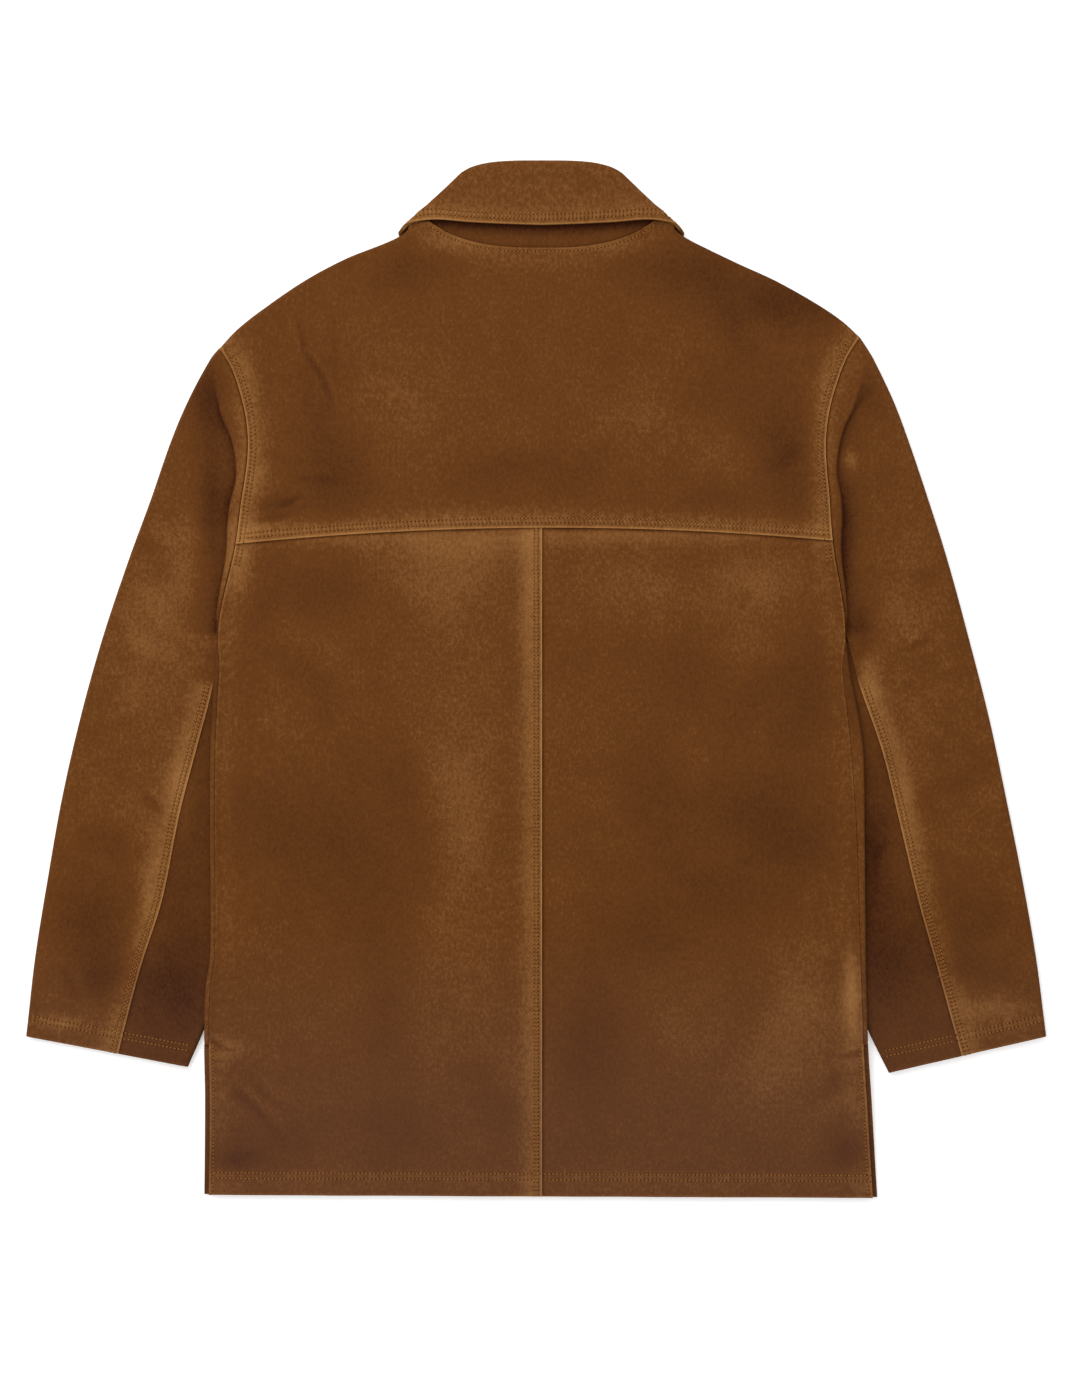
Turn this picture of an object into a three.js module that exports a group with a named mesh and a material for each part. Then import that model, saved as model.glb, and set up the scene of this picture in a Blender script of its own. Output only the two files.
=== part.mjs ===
// Suede overshirt jacket laid flat, face down, with its back up. Millimetres, +Z up,
// +Y towards the collar, +X towards the wearer's right sleeve. The origin is on the surface
// that the jacket lies on, on the line that the two sleeves hang either side of.
// Each cut piece of suede is a closed wall round a middle surface.
import * as THREE from 'three';

// Suede and seams
const WALL = 1.6;
const SEAM_GAP = 0.3;

// Body
const HEM_Y = -424;
const HEM_SLOPE = -0.0045;
const CENTRE_SEAM_X = 4.8;
const NECK_X = 4;
const FRONT_LAP = 16;
const ARMPIT_Y = 40;
const VENT_TOP_Y = -299;
const YOKE_SEAM_RISE = 12;
const YOKE_SEAM_SHARE = 0.69;
const YOKE_LIFT = 0.5;
const SHOULDER_RUN = 12;
const NECK_TURN = 8;
const SIDE_CUT = 4.2;
const SIDE_CUT_SHARE = 0.86;
const BODY_HALF = 270;

// Heights of the middle surfaces over the surface that the jacket lies on
const FLOOR_LEVEL = WALL / 2;
const BODY_DEPTH = 4.4;
const TUCK_DEPTH = 3.0;
const TUCK_LIFT = 5.3;
const TUCK_RAMP = 57;
const TUCK_MARGIN = 8;
const ARMHOLE_LIFT = 2.2;
const ARMHOLE_LIFT_X = 200;
const ARMHOLE_LIFT_RUN = 35;
const ARMHOLE_LIFT_Y = 10;
const ARMHOLE_LIFT_RISE = 50;
const COLLAR_LIFT = 2.4;
const COLLAR_MIDDLE_Y = 330;
const COLLAR_REACH = 126;
const COLLAR_RAMP = 49;
const LAP_LIFT = 1.9;
const LAP_RAMP = 30;
const LAP_MARGIN = 10;
const SLEEVE_TOP = 4.9;
const SLEEVE_TUCKED = 3.6;
const SLEEVE_TUCK_START = 3;
const SLEEVE_TUCK_RUN = 18;
const SLEEVE_FOOT_LIFT = 1.2;
const SLEEVE_HEAD_LIFT = 0.6;

// Sleeves
const STEP_RUN = 3.5;
const SLOPE_RUN = 30;
const STARTED_SHARE = 0.2;
const SETTLE_SHARE = 0.8;
const ARM_LINE_DROP = 2;
const ARM_LINE_RISE = 1;
const STEP_COLUMN = 4;
const COLUMN_SHIFT = 6;
const FRONT_SEAM_PART = 0.06;
const FRONT_SEAM_SHIFT = 0.28;
const FRONT_SEAM_RUN = 0.3;

// Collar
const STAND_LEVEL = 5.8;
const STAND_SWING = 2.0;
const LEAF_LEVEL = 6.3;
const LEAF_SWING = 5.5;
const ROLL_RADIUS = 1.95;
const ROLL_SWING = 0.45;
const STAND_TOP_SHARE = 0.8;

const SIDES = [{ name: 'left', sign: -1 }, { name: 'right', sign: 1 }];

const table = (names, rows) => rows.map((row) => Object.fromEntries(names.map((name, i) => [name, row[i]])));

// Outer fold of the two sleeves: distance from the middle line at each height
const SLEEVE_EDGE = table(['y', 'left', 'right'], [
  [280, 252, 265.5],
  [271, 260.8, 271.5],
  [262, 268, 277],
  [229, 286, 293],
  [196, 300, 305.5],
  [147, 317, 322],
  [98, 335, 337.5],
  [32, 357, 355.5],
  [-33, 375, 372],
  [-99, 390, 386],
  [-164, 401.5, 399],
  [-230, 412, 410.5],
  [-293, 419, 418.5],
]);

// Seam between the upper and the under sleeve, down the sleeve's top layer
const SLEEVE_SEAM = table(['y', 'left', 'right'], [
  [40, 261.5, 253.5],
  [0, 264.5, 263.5],
  [-57, 279, 283],
  [-112, 293, 296.5],
  [-181, 307, 313],
  [-236, 324.5, 328.5],
  [-289, 338.5, 343],
  [-320, 346, 352],
]);

// Side edge of the body, and how far inside it the side seam runs
const BODY_EDGE = table(['y', 'left', 'right', 'leftSeam', 'rightSeam'], [
  [40, 261, 253, 3, 3],
  [6, 264, 257, 4, 6],
  [-27, 266, 263.5, 4, 9],
  [-60, 267.5, 268, 4, 10],
  [-120, 267.7, 269, 4, 7],
  [-227, 267.7, 270, 4, 4.5],
  [-255, 271.5, 270.5, 4, 4],
  [-300, 272.5, 272, 4, 4],
  [-345, 272, 275, 4, 4],
  [-425, 273, 280, 4, 4],
]);

// How far the sleeve is tucked under the body, in from its side edge
const TUCK = table(['y', 'width'], [
  [110, -45],
  [70, -20],
  [42, 2],
  [20, 22],
  [0, 42],
  [-25, 60],
  [-55, 69],
  [-95, 69],
  [-130, 62],
  [-170, 46],
  [-215, 24],
  [-260, 8],
  [-286, 0],
  [-318, -14],
  [-360, -32],
  [-430, -62],
]);

// Shoulder edge from the neck (share 0) to the sleeve (share 1)
const SHOULDER = table(['share', 'left', 'right'], [
  [0, 376, 376],
  [0.1, 366, 366.5],
  [0.2, 358, 357.3],
  [0.4, 344.7, 341.7],
  [0.6, 326.3, 326.4],
  [0.8, 302.5, 307],
  [0.92, 286, 293],
  [1, 271, 280],
]);
const SHARE_STEP = 0.04;
const SHOULDER_ENDS = { left: { neck: 90, tip: 260.4 }, right: { neck: 98, tip: 265.3 } };

// Armhole from the shoulder tip (share 0) to the armpit (share 1): how far the back and the front
// are cut in from the straight line, where the sleeve's strip folds under, and how deep it steps down
const ARMHOLE = table(['share', 'back', 'front', 'strip', 'step'], [
  [0, 0, 0, 8, 0],
  [0.06, 8, 10, 14, 0],
  [0.13, 14, 19, 18, 0.3],
  [0.22, 19.5, 28, 18, 0.8],
  [0.3, 22, 33, 12.5, 1],
  [0.38, 22, 36, 8.5, 1],
  [0.46, 20, 37, 6.2, 1],
  [0.54, 17.3, 36, 7.8, 1],
  [0.62, 15.3, 33.5, 7.8, 1],
  [0.69, 13.2, 29, 5.5, 1],
  [0.77, 9.5, 22, 3.5, 1],
  [0.86, 4.8, 10, 2.5, 1],
  [0.94, 1.4, 1.2, 1.5, 1],
  [1, 0, 0, 1, 1],
]);

// Cuff corners
const CUFF = {
  left: { outer: { x: 419, y: -293 }, inner: { x: 286.6, y: -317.8 } },
  right: { outer: { x: 418.5, y: -293 }, inner: { x: 287.4, y: -322.7 } },
};

// Half of the collar from the centre back (station 0) to the centre front (station 10): how far it
// has turned round the neck, its neck seam, the top of its roll and the edge of its leaf
const COLLAR = table(['station', 'turn', 'neckX', 'neckY', 'foldX', 'foldY', 'leafX', 'leafY'], [
  [0, 0, 0, 354, 0, 425.2, 0, 372],
  [1, 0, 27, 354.5, 23, 425, 30, 373],
  [2, 0, 52, 358, 42, 423.5, 60, 374.5],
  [3, 12, 74, 365, 55, 420, 87, 376.5],
  [4, 45, 88, 373, 61, 415, 107, 373.5],
  [5, 90, 92.5, 375.5, 62.5, 411, 115.5, 366.5],
  [6, 160, 92, 368, 62, 406, 116.5, 361],
  [7, 178, 90, 350, 55, 386, 114, 334],
  [8, 180, 78, 318, 40, 350, 102, 292],
  [9, 180, 50, 287, 22, 312, 82, 252],
  [10, 180, 6, 266, 2.5, 286, 60, 224],
]);

// Largest soft folds: troughs between two ends, with their half width and depth
const BACK_FOLDS = table(['x0', 'y0', 'x1', 'y1', 'width', 'depth'], [
  [-199, 285, -163, 205, 20, 0.9],
  [-222, 172, -165, 152, 16, 0.7],
  [150, 300, 205, 250, 18, 0.7],
  [185, 82, 160, 45, 18, 0.6],
  [-215, 20, -150, -40, 20, 0.7],
  [-120, -60, -90, -200, 26, 0.8],
  [90, -40, 140, -190, 26, 0.8],
  [-250, -325, -195, -390, 20, 0.7],
  [180, -230, 120, -360, 26, 0.7],
]);
const SLEEVE_FOLDS = table(['x0', 'y0', 'x1', 'y1', 'width', 'depth'], [
  [-322, -85, -300, -125, 14, 0.8],
  [-335, 120, -300, 50, 18, 0.8],
  [-392, -225, -365, -280, 16, 0.7],
  [300, 20, 340, 45, 14, 0.8],
  [292, -125, 275, -165, 14, 0.6],
  [375, -60, 330, -100, 18, 0.7],
]);
const COLLAR_STATIONS = [0, 1, 2, 3, 3.5, 4, 4.5, 5, 5.5, 6, 7, 8, 9, 10];

const clamp = (t) => Math.min(1, Math.max(0, t));
const ease = (t) => clamp(t) ** 2 * (3 - 2 * clamp(t));
const mix = (a, b, t) => a + (b - a) * t;

// Value of one column where the key column has the value given, on a smooth curve through the rows
function read(rows, key, name, at) {
  const last = rows.length - 1;
  const rising = rows[last][key] > rows[0][key];
  let i = 0;
  while (i < last - 1 && (rising ? at > rows[i + 1][key] : at < rows[i + 1][key])) i += 1;
  const slope = (j) => {
    const before = rows[Math.max(0, j - 1)];
    const after = rows[Math.min(last, j + 1)];
    return (after[name] - before[name]) / (after[key] - before[key]);
  };
  const span = rows[i + 1][key] - rows[i][key];
  const t = clamp((at - rows[i][key]) / span);
  const t2 = t * t;
  const t3 = t2 * t;
  return (2 * t3 - 3 * t2 + 1) * rows[i][name] + (t3 - 2 * t2 + t) * span * slope(i)
    + (3 * t2 - 2 * t3) * rows[i + 1][name] + (t3 - t2) * span * slope(i + 1);
}

// Depth of the folds at a point: each row's depth times exp of minus the squared distance from the
// line between its ends, in half widths
function foldDepth(rows, x, y) {
  return rows.reduce((sum, row) => {
    const stepX = row.x1 - row.x0;
    const stepY = row.y1 - row.y0;
    const share = clamp(((x - row.x0) * stepX + (y - row.y0) * stepY) / (stepX ** 2 + stepY ** 2));
    const away = Math.hypot(x - row.x0 - share * stepX, y - row.y0 - share * stepY);
    return sum + row.depth * Math.exp(-((away / row.width) ** 2));
  }, 0);
}

const hemY = (x) => HEM_Y + HEM_SLOPE * x;
const bodyEdge = (side, y) => read(BODY_EDGE, 'y', side.name, y);
const innerFold = (side, y) => bodyEdge(side, y) - read(TUCK, 'y', 'width', y);
const sideOf = (x) => SIDES[x < 0 ? 0 : 1];

// 1 where a sleeve is tucked under the body, falling to 0 further in
function tucked(x, y) {
  return ease((Math.abs(x) - innerFold(sideOf(x), y) + TUCK_MARGIN) / TUCK_RAMP + 1);
}

// Middle surface of the fronts, which lie on the surface, the sleeves and the collar's leaf
function frontLevel(x, y) {
  const outwards = ease((Math.abs(x) - ARMHOLE_LIFT_X) / ARMHOLE_LIFT_RUN);
  const armhole = ARMHOLE_LIFT * outwards * ease((y - ARMHOLE_LIFT_Y) / ARMHOLE_LIFT_RISE);
  const reach = Math.hypot(x - NECK_X, y - COLLAR_MIDDLE_Y);
  const collar = COLLAR_LIFT * ease((COLLAR_REACH + COLLAR_RAMP - reach) / COLLAR_RAMP);
  return FLOOR_LEVEL + Math.hypot(TUCK_LIFT * tucked(x, y), armhole, collar);
}

// Middle surface of the back, which lies on the fronts, with its folds
function backLevel(x, y) {
  return frontLevel(x, y) + mix(BODY_DEPTH, TUCK_DEPTH, tucked(x, y)) - foldDepth(BACK_FOLDS, x, y);
}

const yokeLevel = (x, y) => backLevel(x, y) + YOKE_LIFT;

// Point on the shoulder edge, with the direction straight out of it
function shoulderPoint(side, share) {
  const { neck, tip } = SHOULDER_ENDS[side.name];
  const at = (s) => new THREE.Vector2(side.sign * mix(neck, tip, s), read(SHOULDER, 'share', side.name, s));
  const along = at(Math.min(1, share + SHARE_STEP)).sub(at(Math.max(0, share - SHARE_STEP)));
  const out = new THREE.Vector2(-along.y, along.x).multiplyScalar(side.sign).normalize();
  return { edge: at(share), out };
}

// Start of the shoulder fold: the line where the yoke stops being flat
function foldStart({ edge, out }) {
  const radius = (yokeLevel(edge.x, edge.y) - frontLevel(edge.x, edge.y)) / 2;
  return edge.clone().addScaledVector(out, -radius - WALL / 2);
}

// Point on an armhole: cut is 'back' or 'front'
function armholePoint(side, share, cut) {
  const tip = foldStart(shoulderPoint(side, 1));
  const armpitX = side.sign * bodyEdge(side, ARMPIT_Y);
  const x = mix(tip.x, armpitX, share) - side.sign * read(ARMHOLE, 'share', cut, share);
  return new THREE.Vector2(x, mix(tip.y, ARMPIT_Y, share));
}

// Point on the yoke seam, from the left armhole (share 0) to the right one (share 1)
function yokeSeam(share) {
  const left = armholePoint(SIDES[0], YOKE_SEAM_SHARE, 'back');
  const right = armholePoint(SIDES[1], YOKE_SEAM_SHARE, 'back');
  const point = left.clone().lerp(right, share);
  point.y += YOKE_SEAM_RISE * 4 * share * (1 - share);
  return point;
}

// One station of the collar: 3-D points of the neck seam, the top of the stand and the leaf's edge,
// and the direction out of the neck there
function collarStation(sign, station) {
  const value = (name) => read(COLLAR, 'station', name, station);
  const turn = THREE.MathUtils.degToRad(Math.min(180, Math.max(0, value('turn'))));
  const stand = STAND_LEVEL + STAND_SWING * Math.cos(turn);
  const place = (name, z) => new THREE.Vector3(NECK_X + sign * value(`${name}X`), value(`${name}Y`), z);
  const neck = place('neck', stand);
  const fold = place('fold', stand);
  const leaf = place('leaf', LEAF_LEVEL + LEAF_SWING * Math.cos(turn));
  const up = fold.clone().sub(neck).normalize();
  const sideways = new THREE.Vector3(up.y, -up.x, 0).multiplyScalar(sign);
  const out = sideways.multiplyScalar(Math.sin(turn)).add(new THREE.Vector3(0, 0, Math.cos(turn)));
  const radius = ROLL_RADIUS + ROLL_SWING * Math.cos(turn);
  return { neck, fold, leaf, up, out, radius };
}

// Patch between four plan edges (Coons): the blend of left and right, plus how far the bottom and
// the top bow from their chords. Rows run from the bottom edge to the top edge, and the top's bow
// fades down the patch as the power given of the height.
function patch({ us, vs, bottom, top, left, right, power = 1 }) {
  const bow = (edge, i) => {
    const chord = edge[0].clone().lerp(edge.at(-1), us[i]);
    return edge[i].clone().sub(chord);
  };
  return vs.map((v, j) => us.map((u, i) => left[j].clone().lerp(right[j], u)
    .addScaledVector(bow(bottom, i), 1 - v).addScaledVector(bow(top, i), v ** power)));
}

// Closed wall of suede round a grid of middle-surface points, each moved half the wall either way
// along the surface's normal
function suede(name, colour, rows) {
  const tall = rows.length;
  const wide = rows[0].length;
  const grid = (j, i) => rows[Math.min(tall - 1, Math.max(0, j))][Math.min(wide - 1, Math.max(0, i))];
  const positions = [];
  for (const face of [1, -1]) {
    for (let j = 0; j < tall; j += 1) {
      for (let i = 0; i < wide; i += 1) {
        const across = grid(j, i + 1).clone().sub(grid(j, i - 1));
        const along = grid(j + 1, i).clone().sub(grid(j - 1, i));
        const normal = across.cross(along).normalize();
        positions.push(...rows[j][i].clone().addScaledVector(normal, face * WALL / 2).toArray());
      }
    }
  }
  const index = [];
  const quad = (a, b, c, d) => index.push(a, b, c, a, c, d);
  const outer = (j, i) => j * wide + i;
  const inner = (j, i) => tall * wide + j * wide + i;
  for (let j = 0; j < tall - 1; j += 1) {
    for (let i = 0; i < wide - 1; i += 1) {
      quad(outer(j, i), outer(j, i + 1), outer(j + 1, i + 1), outer(j + 1, i));
      quad(inner(j, i), inner(j + 1, i), inner(j + 1, i + 1), inner(j, i + 1));
    }
  }
  for (let i = 0; i < wide - 1; i += 1) {
    quad(inner(0, i), inner(0, i + 1), outer(0, i + 1), outer(0, i));
    quad(outer(tall - 1, i), outer(tall - 1, i + 1), inner(tall - 1, i + 1), inner(tall - 1, i));
  }
  for (let j = 0; j < tall - 1; j += 1) {
    quad(outer(j, 0), outer(j + 1, 0), inner(j + 1, 0), inner(j, 0));
    quad(inner(j, wide - 1), inner(j + 1, wide - 1), outer(j + 1, wide - 1), outer(j, wide - 1));
  }
  const geometry = new THREE.BufferGeometry();
  geometry.setAttribute('position', new THREE.Float32BufferAttribute(positions, 3));
  geometry.setIndex(index);
  geometry.computeVertexNormals();
  const material = new THREE.MeshStandardMaterial({ color: colour, roughness: 0.95, metalness: 0 });
  const mesh = new THREE.Mesh(geometry, material);
  mesh.name = name;
  return mesh;
}

const jacket = new THREE.Group();
const SUEDE = '#75491f';
const SUEDE_DARK = '#66401b';

// Yoke: columns across from shoulder to neck to shoulder, rows up from the yoke seam, then rows
// round the shoulder fold to the seam on the underside
const SHOULDER_SHARES = [1, 0.92, 0.8, 0.65, 0.5, 0.35, 0.2, 0.08];
const NECK_STATIONS = [5, 4.5, 4, 3.5, 3, 2, 1];
const NECK_TURN_PARTS = [0.2, 0.4, 0.6, 0.8, 1];
const YOKE_ROWS = [0.69, 0.62, 0.54, 0.46, 0.38, 0.3, 0.22, 0.13, 0.06, 0];
const FOLD_STEPS = [0.25, 0.5, 0.75, 1];

function shoulderColumn(side, share) {
  const { edge, out } = shoulderPoint(side, share);
  const start = foldStart({ edge, out });
  const top = yokeLevel(start.x, start.y);
  const bottom = frontLevel(start.x, start.y);
  const radius = (top - bottom) / 2;
  const place = (reach, z) => new THREE.Vector3(start.x + out.x * reach, start.y + out.y * reach, z);
  const fold = FOLD_STEPS.map((part) => {
    const angle = part * Math.PI;
    return place(radius * Math.sin(angle), bottom + radius * (1 + Math.cos(angle)));
  });
  return { start, fold: [...fold, place(-SHOULDER_RUN, bottom)] };
}

function neckColumn(sign, station) {
  const { neck, up } = collarStation(sign, station);
  const ahead = new THREE.Vector2(up.x, up.y).normalize();
  const edge = new THREE.Vector2(neck.x, neck.y).addScaledVector(ahead, -SEAM_GAP / 2);
  const start = edge.clone().addScaledVector(ahead, -NECK_TURN);
  const fold = NECK_TURN_PARTS.map((part) => {
    const point = start.clone().lerp(edge, part);
    return new THREE.Vector3(point.x, point.y, yokeLevel(point.x, point.y));
  });
  return { start, fold };
}

function yoke() {
  const half = (side) => [
    ...SHOULDER_SHARES.map((share) => shoulderColumn(side, share)),
    ...NECK_STATIONS.map((station) => neckColumn(side.sign, station)),
  ];
  const columns = [...half(SIDES[0]), neckColumn(1, 0), ...half(SIDES[1]).reverse()];
  const top = columns.map((column) => column.start);
  const inset = (side, share) => {
    const point = armholePoint(side, share, 'back');
    point.x -= side.sign * SEAM_GAP;
    return point;
  };
  const left = YOKE_ROWS.map((share) => inset(SIDES[0], share));
  const right = YOKE_ROWS.map((share) => inset(SIDES[1], share));
  const last = top.length - 1;
  left[left.length - 1] = top[0];
  right[right.length - 1] = top[last];
  const us = top.map((point) => (point.x - top[0].x) / (top[last].x - top[0].x));
  const vs = YOKE_ROWS.map((share) => 1 - share / YOKE_SEAM_SHARE);
  const bottom = us.map((u) => yokeSeam(u).add(new THREE.Vector2(0, SEAM_GAP / 2)));
  bottom[0].x += SEAM_GAP;
  bottom[last].x -= SEAM_GAP;
  left[0] = bottom[0];
  right[0] = bottom[last];
  const flat = patch({ us, vs, bottom, top, left, right });
  const rows = flat.map((row) => row.map((p) => new THREE.Vector3(p.x, p.y, yokeLevel(p.x, p.y))));
  const folds = [...FOLD_STEPS, 2].map((_, k) => columns.map((column) => column.fold[k]));
  return suede('back_yoke', SUEDE, [...rows, ...folds]);
}

// Shares across a body panel, closer together where the sleeve is tucked under it
const PANEL_SHARES = [0, 0.05, 0.1, 0.16, 0.22, 0.3, 0.4, 0.52, 0.66, 0.82, 1];
const NEAR_PARTS = [0, 0.15, 0.3, 0.45, 0.6, 0.75];
const NECKLINE_STATIONS = [7, 8, 9, 9.6, 10];
const NECKLINE_GAP = 2 * SEAM_GAP;
const TOP_BOW_POWER = 3;
const SIDE_ROWS = [22, 4, -16, -42, -72, -105, -140, -175, -212, -248, -275, -295, -303, -330, -365, -400];

// Back panels: from the side seam and armhole to the centre back, and from the yoke seam to the hem
function backPanel(side) {
  const centre = CENTRE_SEAM_X + side.sign * SEAM_GAP / 2;
  const drop = new THREE.Vector2(0, -SEAM_GAP / 2);
  const armhole = ARMHOLE.filter((row) => row.share >= YOKE_SEAM_SHARE).map((row) => {
    const point = armholePoint(side, row.share, 'back');
    const cut = SIDE_CUT * ease((row.share - SIDE_CUT_SHARE) / (1 - SIDE_CUT_SHARE));
    point.x -= side.sign * (SEAM_GAP + cut);
    return point;
  });
  armhole[0].add(drop);
  const seam = [...SIDE_ROWS, hemY(side.sign * BODY_HALF)].map((y) => {
    const inside = read(BODY_EDGE, 'y', `${side.name}Seam`, y) + SEAM_GAP / 2;
    return new THREE.Vector2(side.sign * (bodyEdge(side, y) - inside), y);
  });
  const outer = [...armhole, ...seam].reverse();
  const span = outer[outer.length - 1].y - outer[0].y;
  const vs = outer.map((point) => (point.y - outer[0].y) / span);
  const seamLeft = yokeSeam(0).x;
  const seamWidth = yokeSeam(1).x - seamLeft;
  const top = PANEL_SHARES.map((u) => {
    const x = mix(armhole[0].x, centre, u);
    return yokeSeam((x - seamLeft) / seamWidth).add(drop);
  });
  const bottom = PANEL_SHARES.map((u) => {
    const x = mix(outer[0].x, centre, u);
    return new THREE.Vector2(x, hemY(x));
  });
  const inner = vs.map((v) => new THREE.Vector2(centre, mix(bottom.at(-1).y, top.at(-1).y, v)));
  outer[0] = bottom[0];
  outer[outer.length - 1] = top[0];
  const flat = patch({ us: PANEL_SHARES, vs, bottom, top, left: outer, right: inner });
  const rows = flat.map((row) => row.map((p) => new THREE.Vector3(p.x, p.y, backLevel(p.x, p.y))));
  const ordered = side.sign < 0 ? rows : rows.map((row) => [...row].reverse());
  return suede(`back_${side.name}`, SUEDE, ordered);
}

// Fronts: from the front armhole and side to the lap, and from the hem to the neck and the shoulder
// seam. At the side the front folds up round the edge to the side seam, down to the vent.
function frontPanel(side) {
  const lapEdge = NECK_X - side.sign * FRONT_LAP;
  const upper = side.sign > 0;
  const level = (x, y) => {
    const lap = upper ? LAP_LIFT * ease((NECK_X + FRONT_LAP + LAP_MARGIN + LAP_RAMP - x) / LAP_RAMP) : 0;
    return frontLevel(x, y) + lap;
  };
  const armholeShares = ARMHOLE.map((row) => row.share).filter((share) => share > 0);
  const ys = [...armholeShares.map((share) => armholePoint(side, share, 'front').y), ...SIDE_ROWS];
  const armpitRow = ys[armholeShares.length - 1];
  const edgeAt = (y, k) => {
    if (k >= armholeShares.length) return side.sign * bodyEdge(side, y);
    return armholePoint(side, armholeShares[k], 'front').x - side.sign * SEAM_GAP;
  };
  const sections = [...ys, hemY(side.sign * BODY_HALF)].map((y, k) => {
    const edge = edgeAt(y, k);
    const folded = y <= armpitRow && y > VENT_TOP_Y;
    if (!folded) return { start: new THREE.Vector2(edge, y) };
    const bottom = level(edge, y);
    const radius = (backLevel(edge, y) - bottom) / 2;
    const width = radius + WALL / 2;
    const start = edge - side.sign * width;
    const place = (reach, z) => new THREE.Vector3(start + side.sign * reach, y, z);
    const run = read(BODY_EDGE, 'y', `${side.name}Seam`, y) - width - SEAM_GAP / 2;
    const arc = [...FOLD_STEPS].reverse().map((part) => {
      const angle = part * Math.PI;
      return place(radius * Math.sin(angle), bottom + radius * (1 - Math.cos(angle)));
    });
    return { start: new THREE.Vector2(start, y), fold: [place(-run, bottom + 2 * radius), ...arc] };
  }).reverse();
  const outer = sections.map((section) => section.start);
  const shoulder = SHOULDER_SHARES.slice(1).map((share) => {
    const { edge, out } = shoulderPoint(side, share);
    return foldStart({ edge, out }).addScaledVector(out, -SHOULDER_RUN - SEAM_GAP);
  });
  const neckline = NECKLINE_STATIONS.map((station) => {
    const { neck, up } = collarStation(side.sign, station);
    return new THREE.Vector2(neck.x, neck.y).addScaledVector(new THREE.Vector2(up.x, up.y), -NECKLINE_GAP);
  });
  const lapTop = new THREE.Vector2(lapEdge, neckline.at(-1).y - NECKLINE_GAP);
  const corner = outer.at(-1);
  const top = [corner, ...shoulder, ...neckline, lapTop];
  const us = top.map((point) => (point.x - corner.x) / (lapEdge - corner.x));
  const bottom = us.map((u) => {
    const x = mix(outer[0].x, lapEdge, u);
    return new THREE.Vector2(x, hemY(x));
  });
  const span = corner.y - outer[0].y;
  const vs = outer.map((point) => (point.y - outer[0].y) / span);
  const inner = vs.map((v) => new THREE.Vector2(lapEdge, mix(bottom.at(-1).y, lapTop.y, v)));
  outer[0] = bottom[0];
  const flat = patch({ us, vs, bottom, top, left: outer, right: inner, power: TOP_BOW_POWER });
  const rows = flat.map((row, j) => {
    const rest = row.slice(1).map((p) => new THREE.Vector3(p.x, p.y, level(p.x, p.y)));
    const near = (sections[j].fold ? [0] : NEAR_PARTS).map((part) => {
      const point = row[0].clone().lerp(row[1], part);
      return new THREE.Vector3(point.x, point.y, level(point.x, point.y));
    });
    return [...(sections[j].fold ?? []), ...near, ...rest];
  });
  const ordered = side.sign < 0 ? rows : rows.map((row) => [...row].reverse());
  return suede(`front_${side.name}`, SUEDE_DARK, ordered);
}

// Top layer of a sleeve below the armpit, with its folds: lower where it goes under the body
function sleeveLevel(side, x, y) {
  const outside = Math.abs(x) - bodyEdge(side, y);
  const clear = ease((outside - SLEEVE_TUCK_START) / SLEEVE_TUCK_RUN);
  return mix(SLEEVE_TUCKED, SLEEVE_TOP - foldDepth(SLEEVE_FOLDS, x, y), clear);
}

// Sleeve line across the sleeve at a share of the way from the armpit to the cuff
function sleeveLine(side, share) {
  const cuff = CUFF[side.name];
  const outerY = mix(ARMPIT_Y - ARM_LINE_DROP, cuff.outer.y, share);
  const innerY = mix(ARMPIT_Y + ARM_LINE_RISE, cuff.inner.y, share);
  const outer = new THREE.Vector2(side.sign * (read(SLEEVE_EDGE, 'y', side.name, outerY) - WALL / 2), outerY);
  const inner = new THREE.Vector2(side.sign * innerFold(side, innerY), innerY);
  let part = 0.5;
  for (let turn = 0; turn < 8; turn += 1) {
    const y = mix(inner.y, outer.y, part);
    const seamX = side.sign * read(SLEEVE_SEAM, 'y', side.name, y);
    part = (seamX - inner.x) / (outer.x - inner.x);
  }
  const frontSeam = FRONT_SEAM_PART + FRONT_SEAM_SHIFT * ease(share / FRONT_SEAM_RUN);
  return { outer, inner, backSeam: part, frontSeam };
}

const SLEEVE_SHARES = [0.04, 0.1, 0.18, 0.27, 0.36, 0.45, 0.54, 0.63, 0.72, 0.81, 0.9, 1];
const TOP_COLUMNS = 8;
const BOTTOM_PARTS = [0.2, 0.4, 0.6, 0.8, 1];

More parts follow.
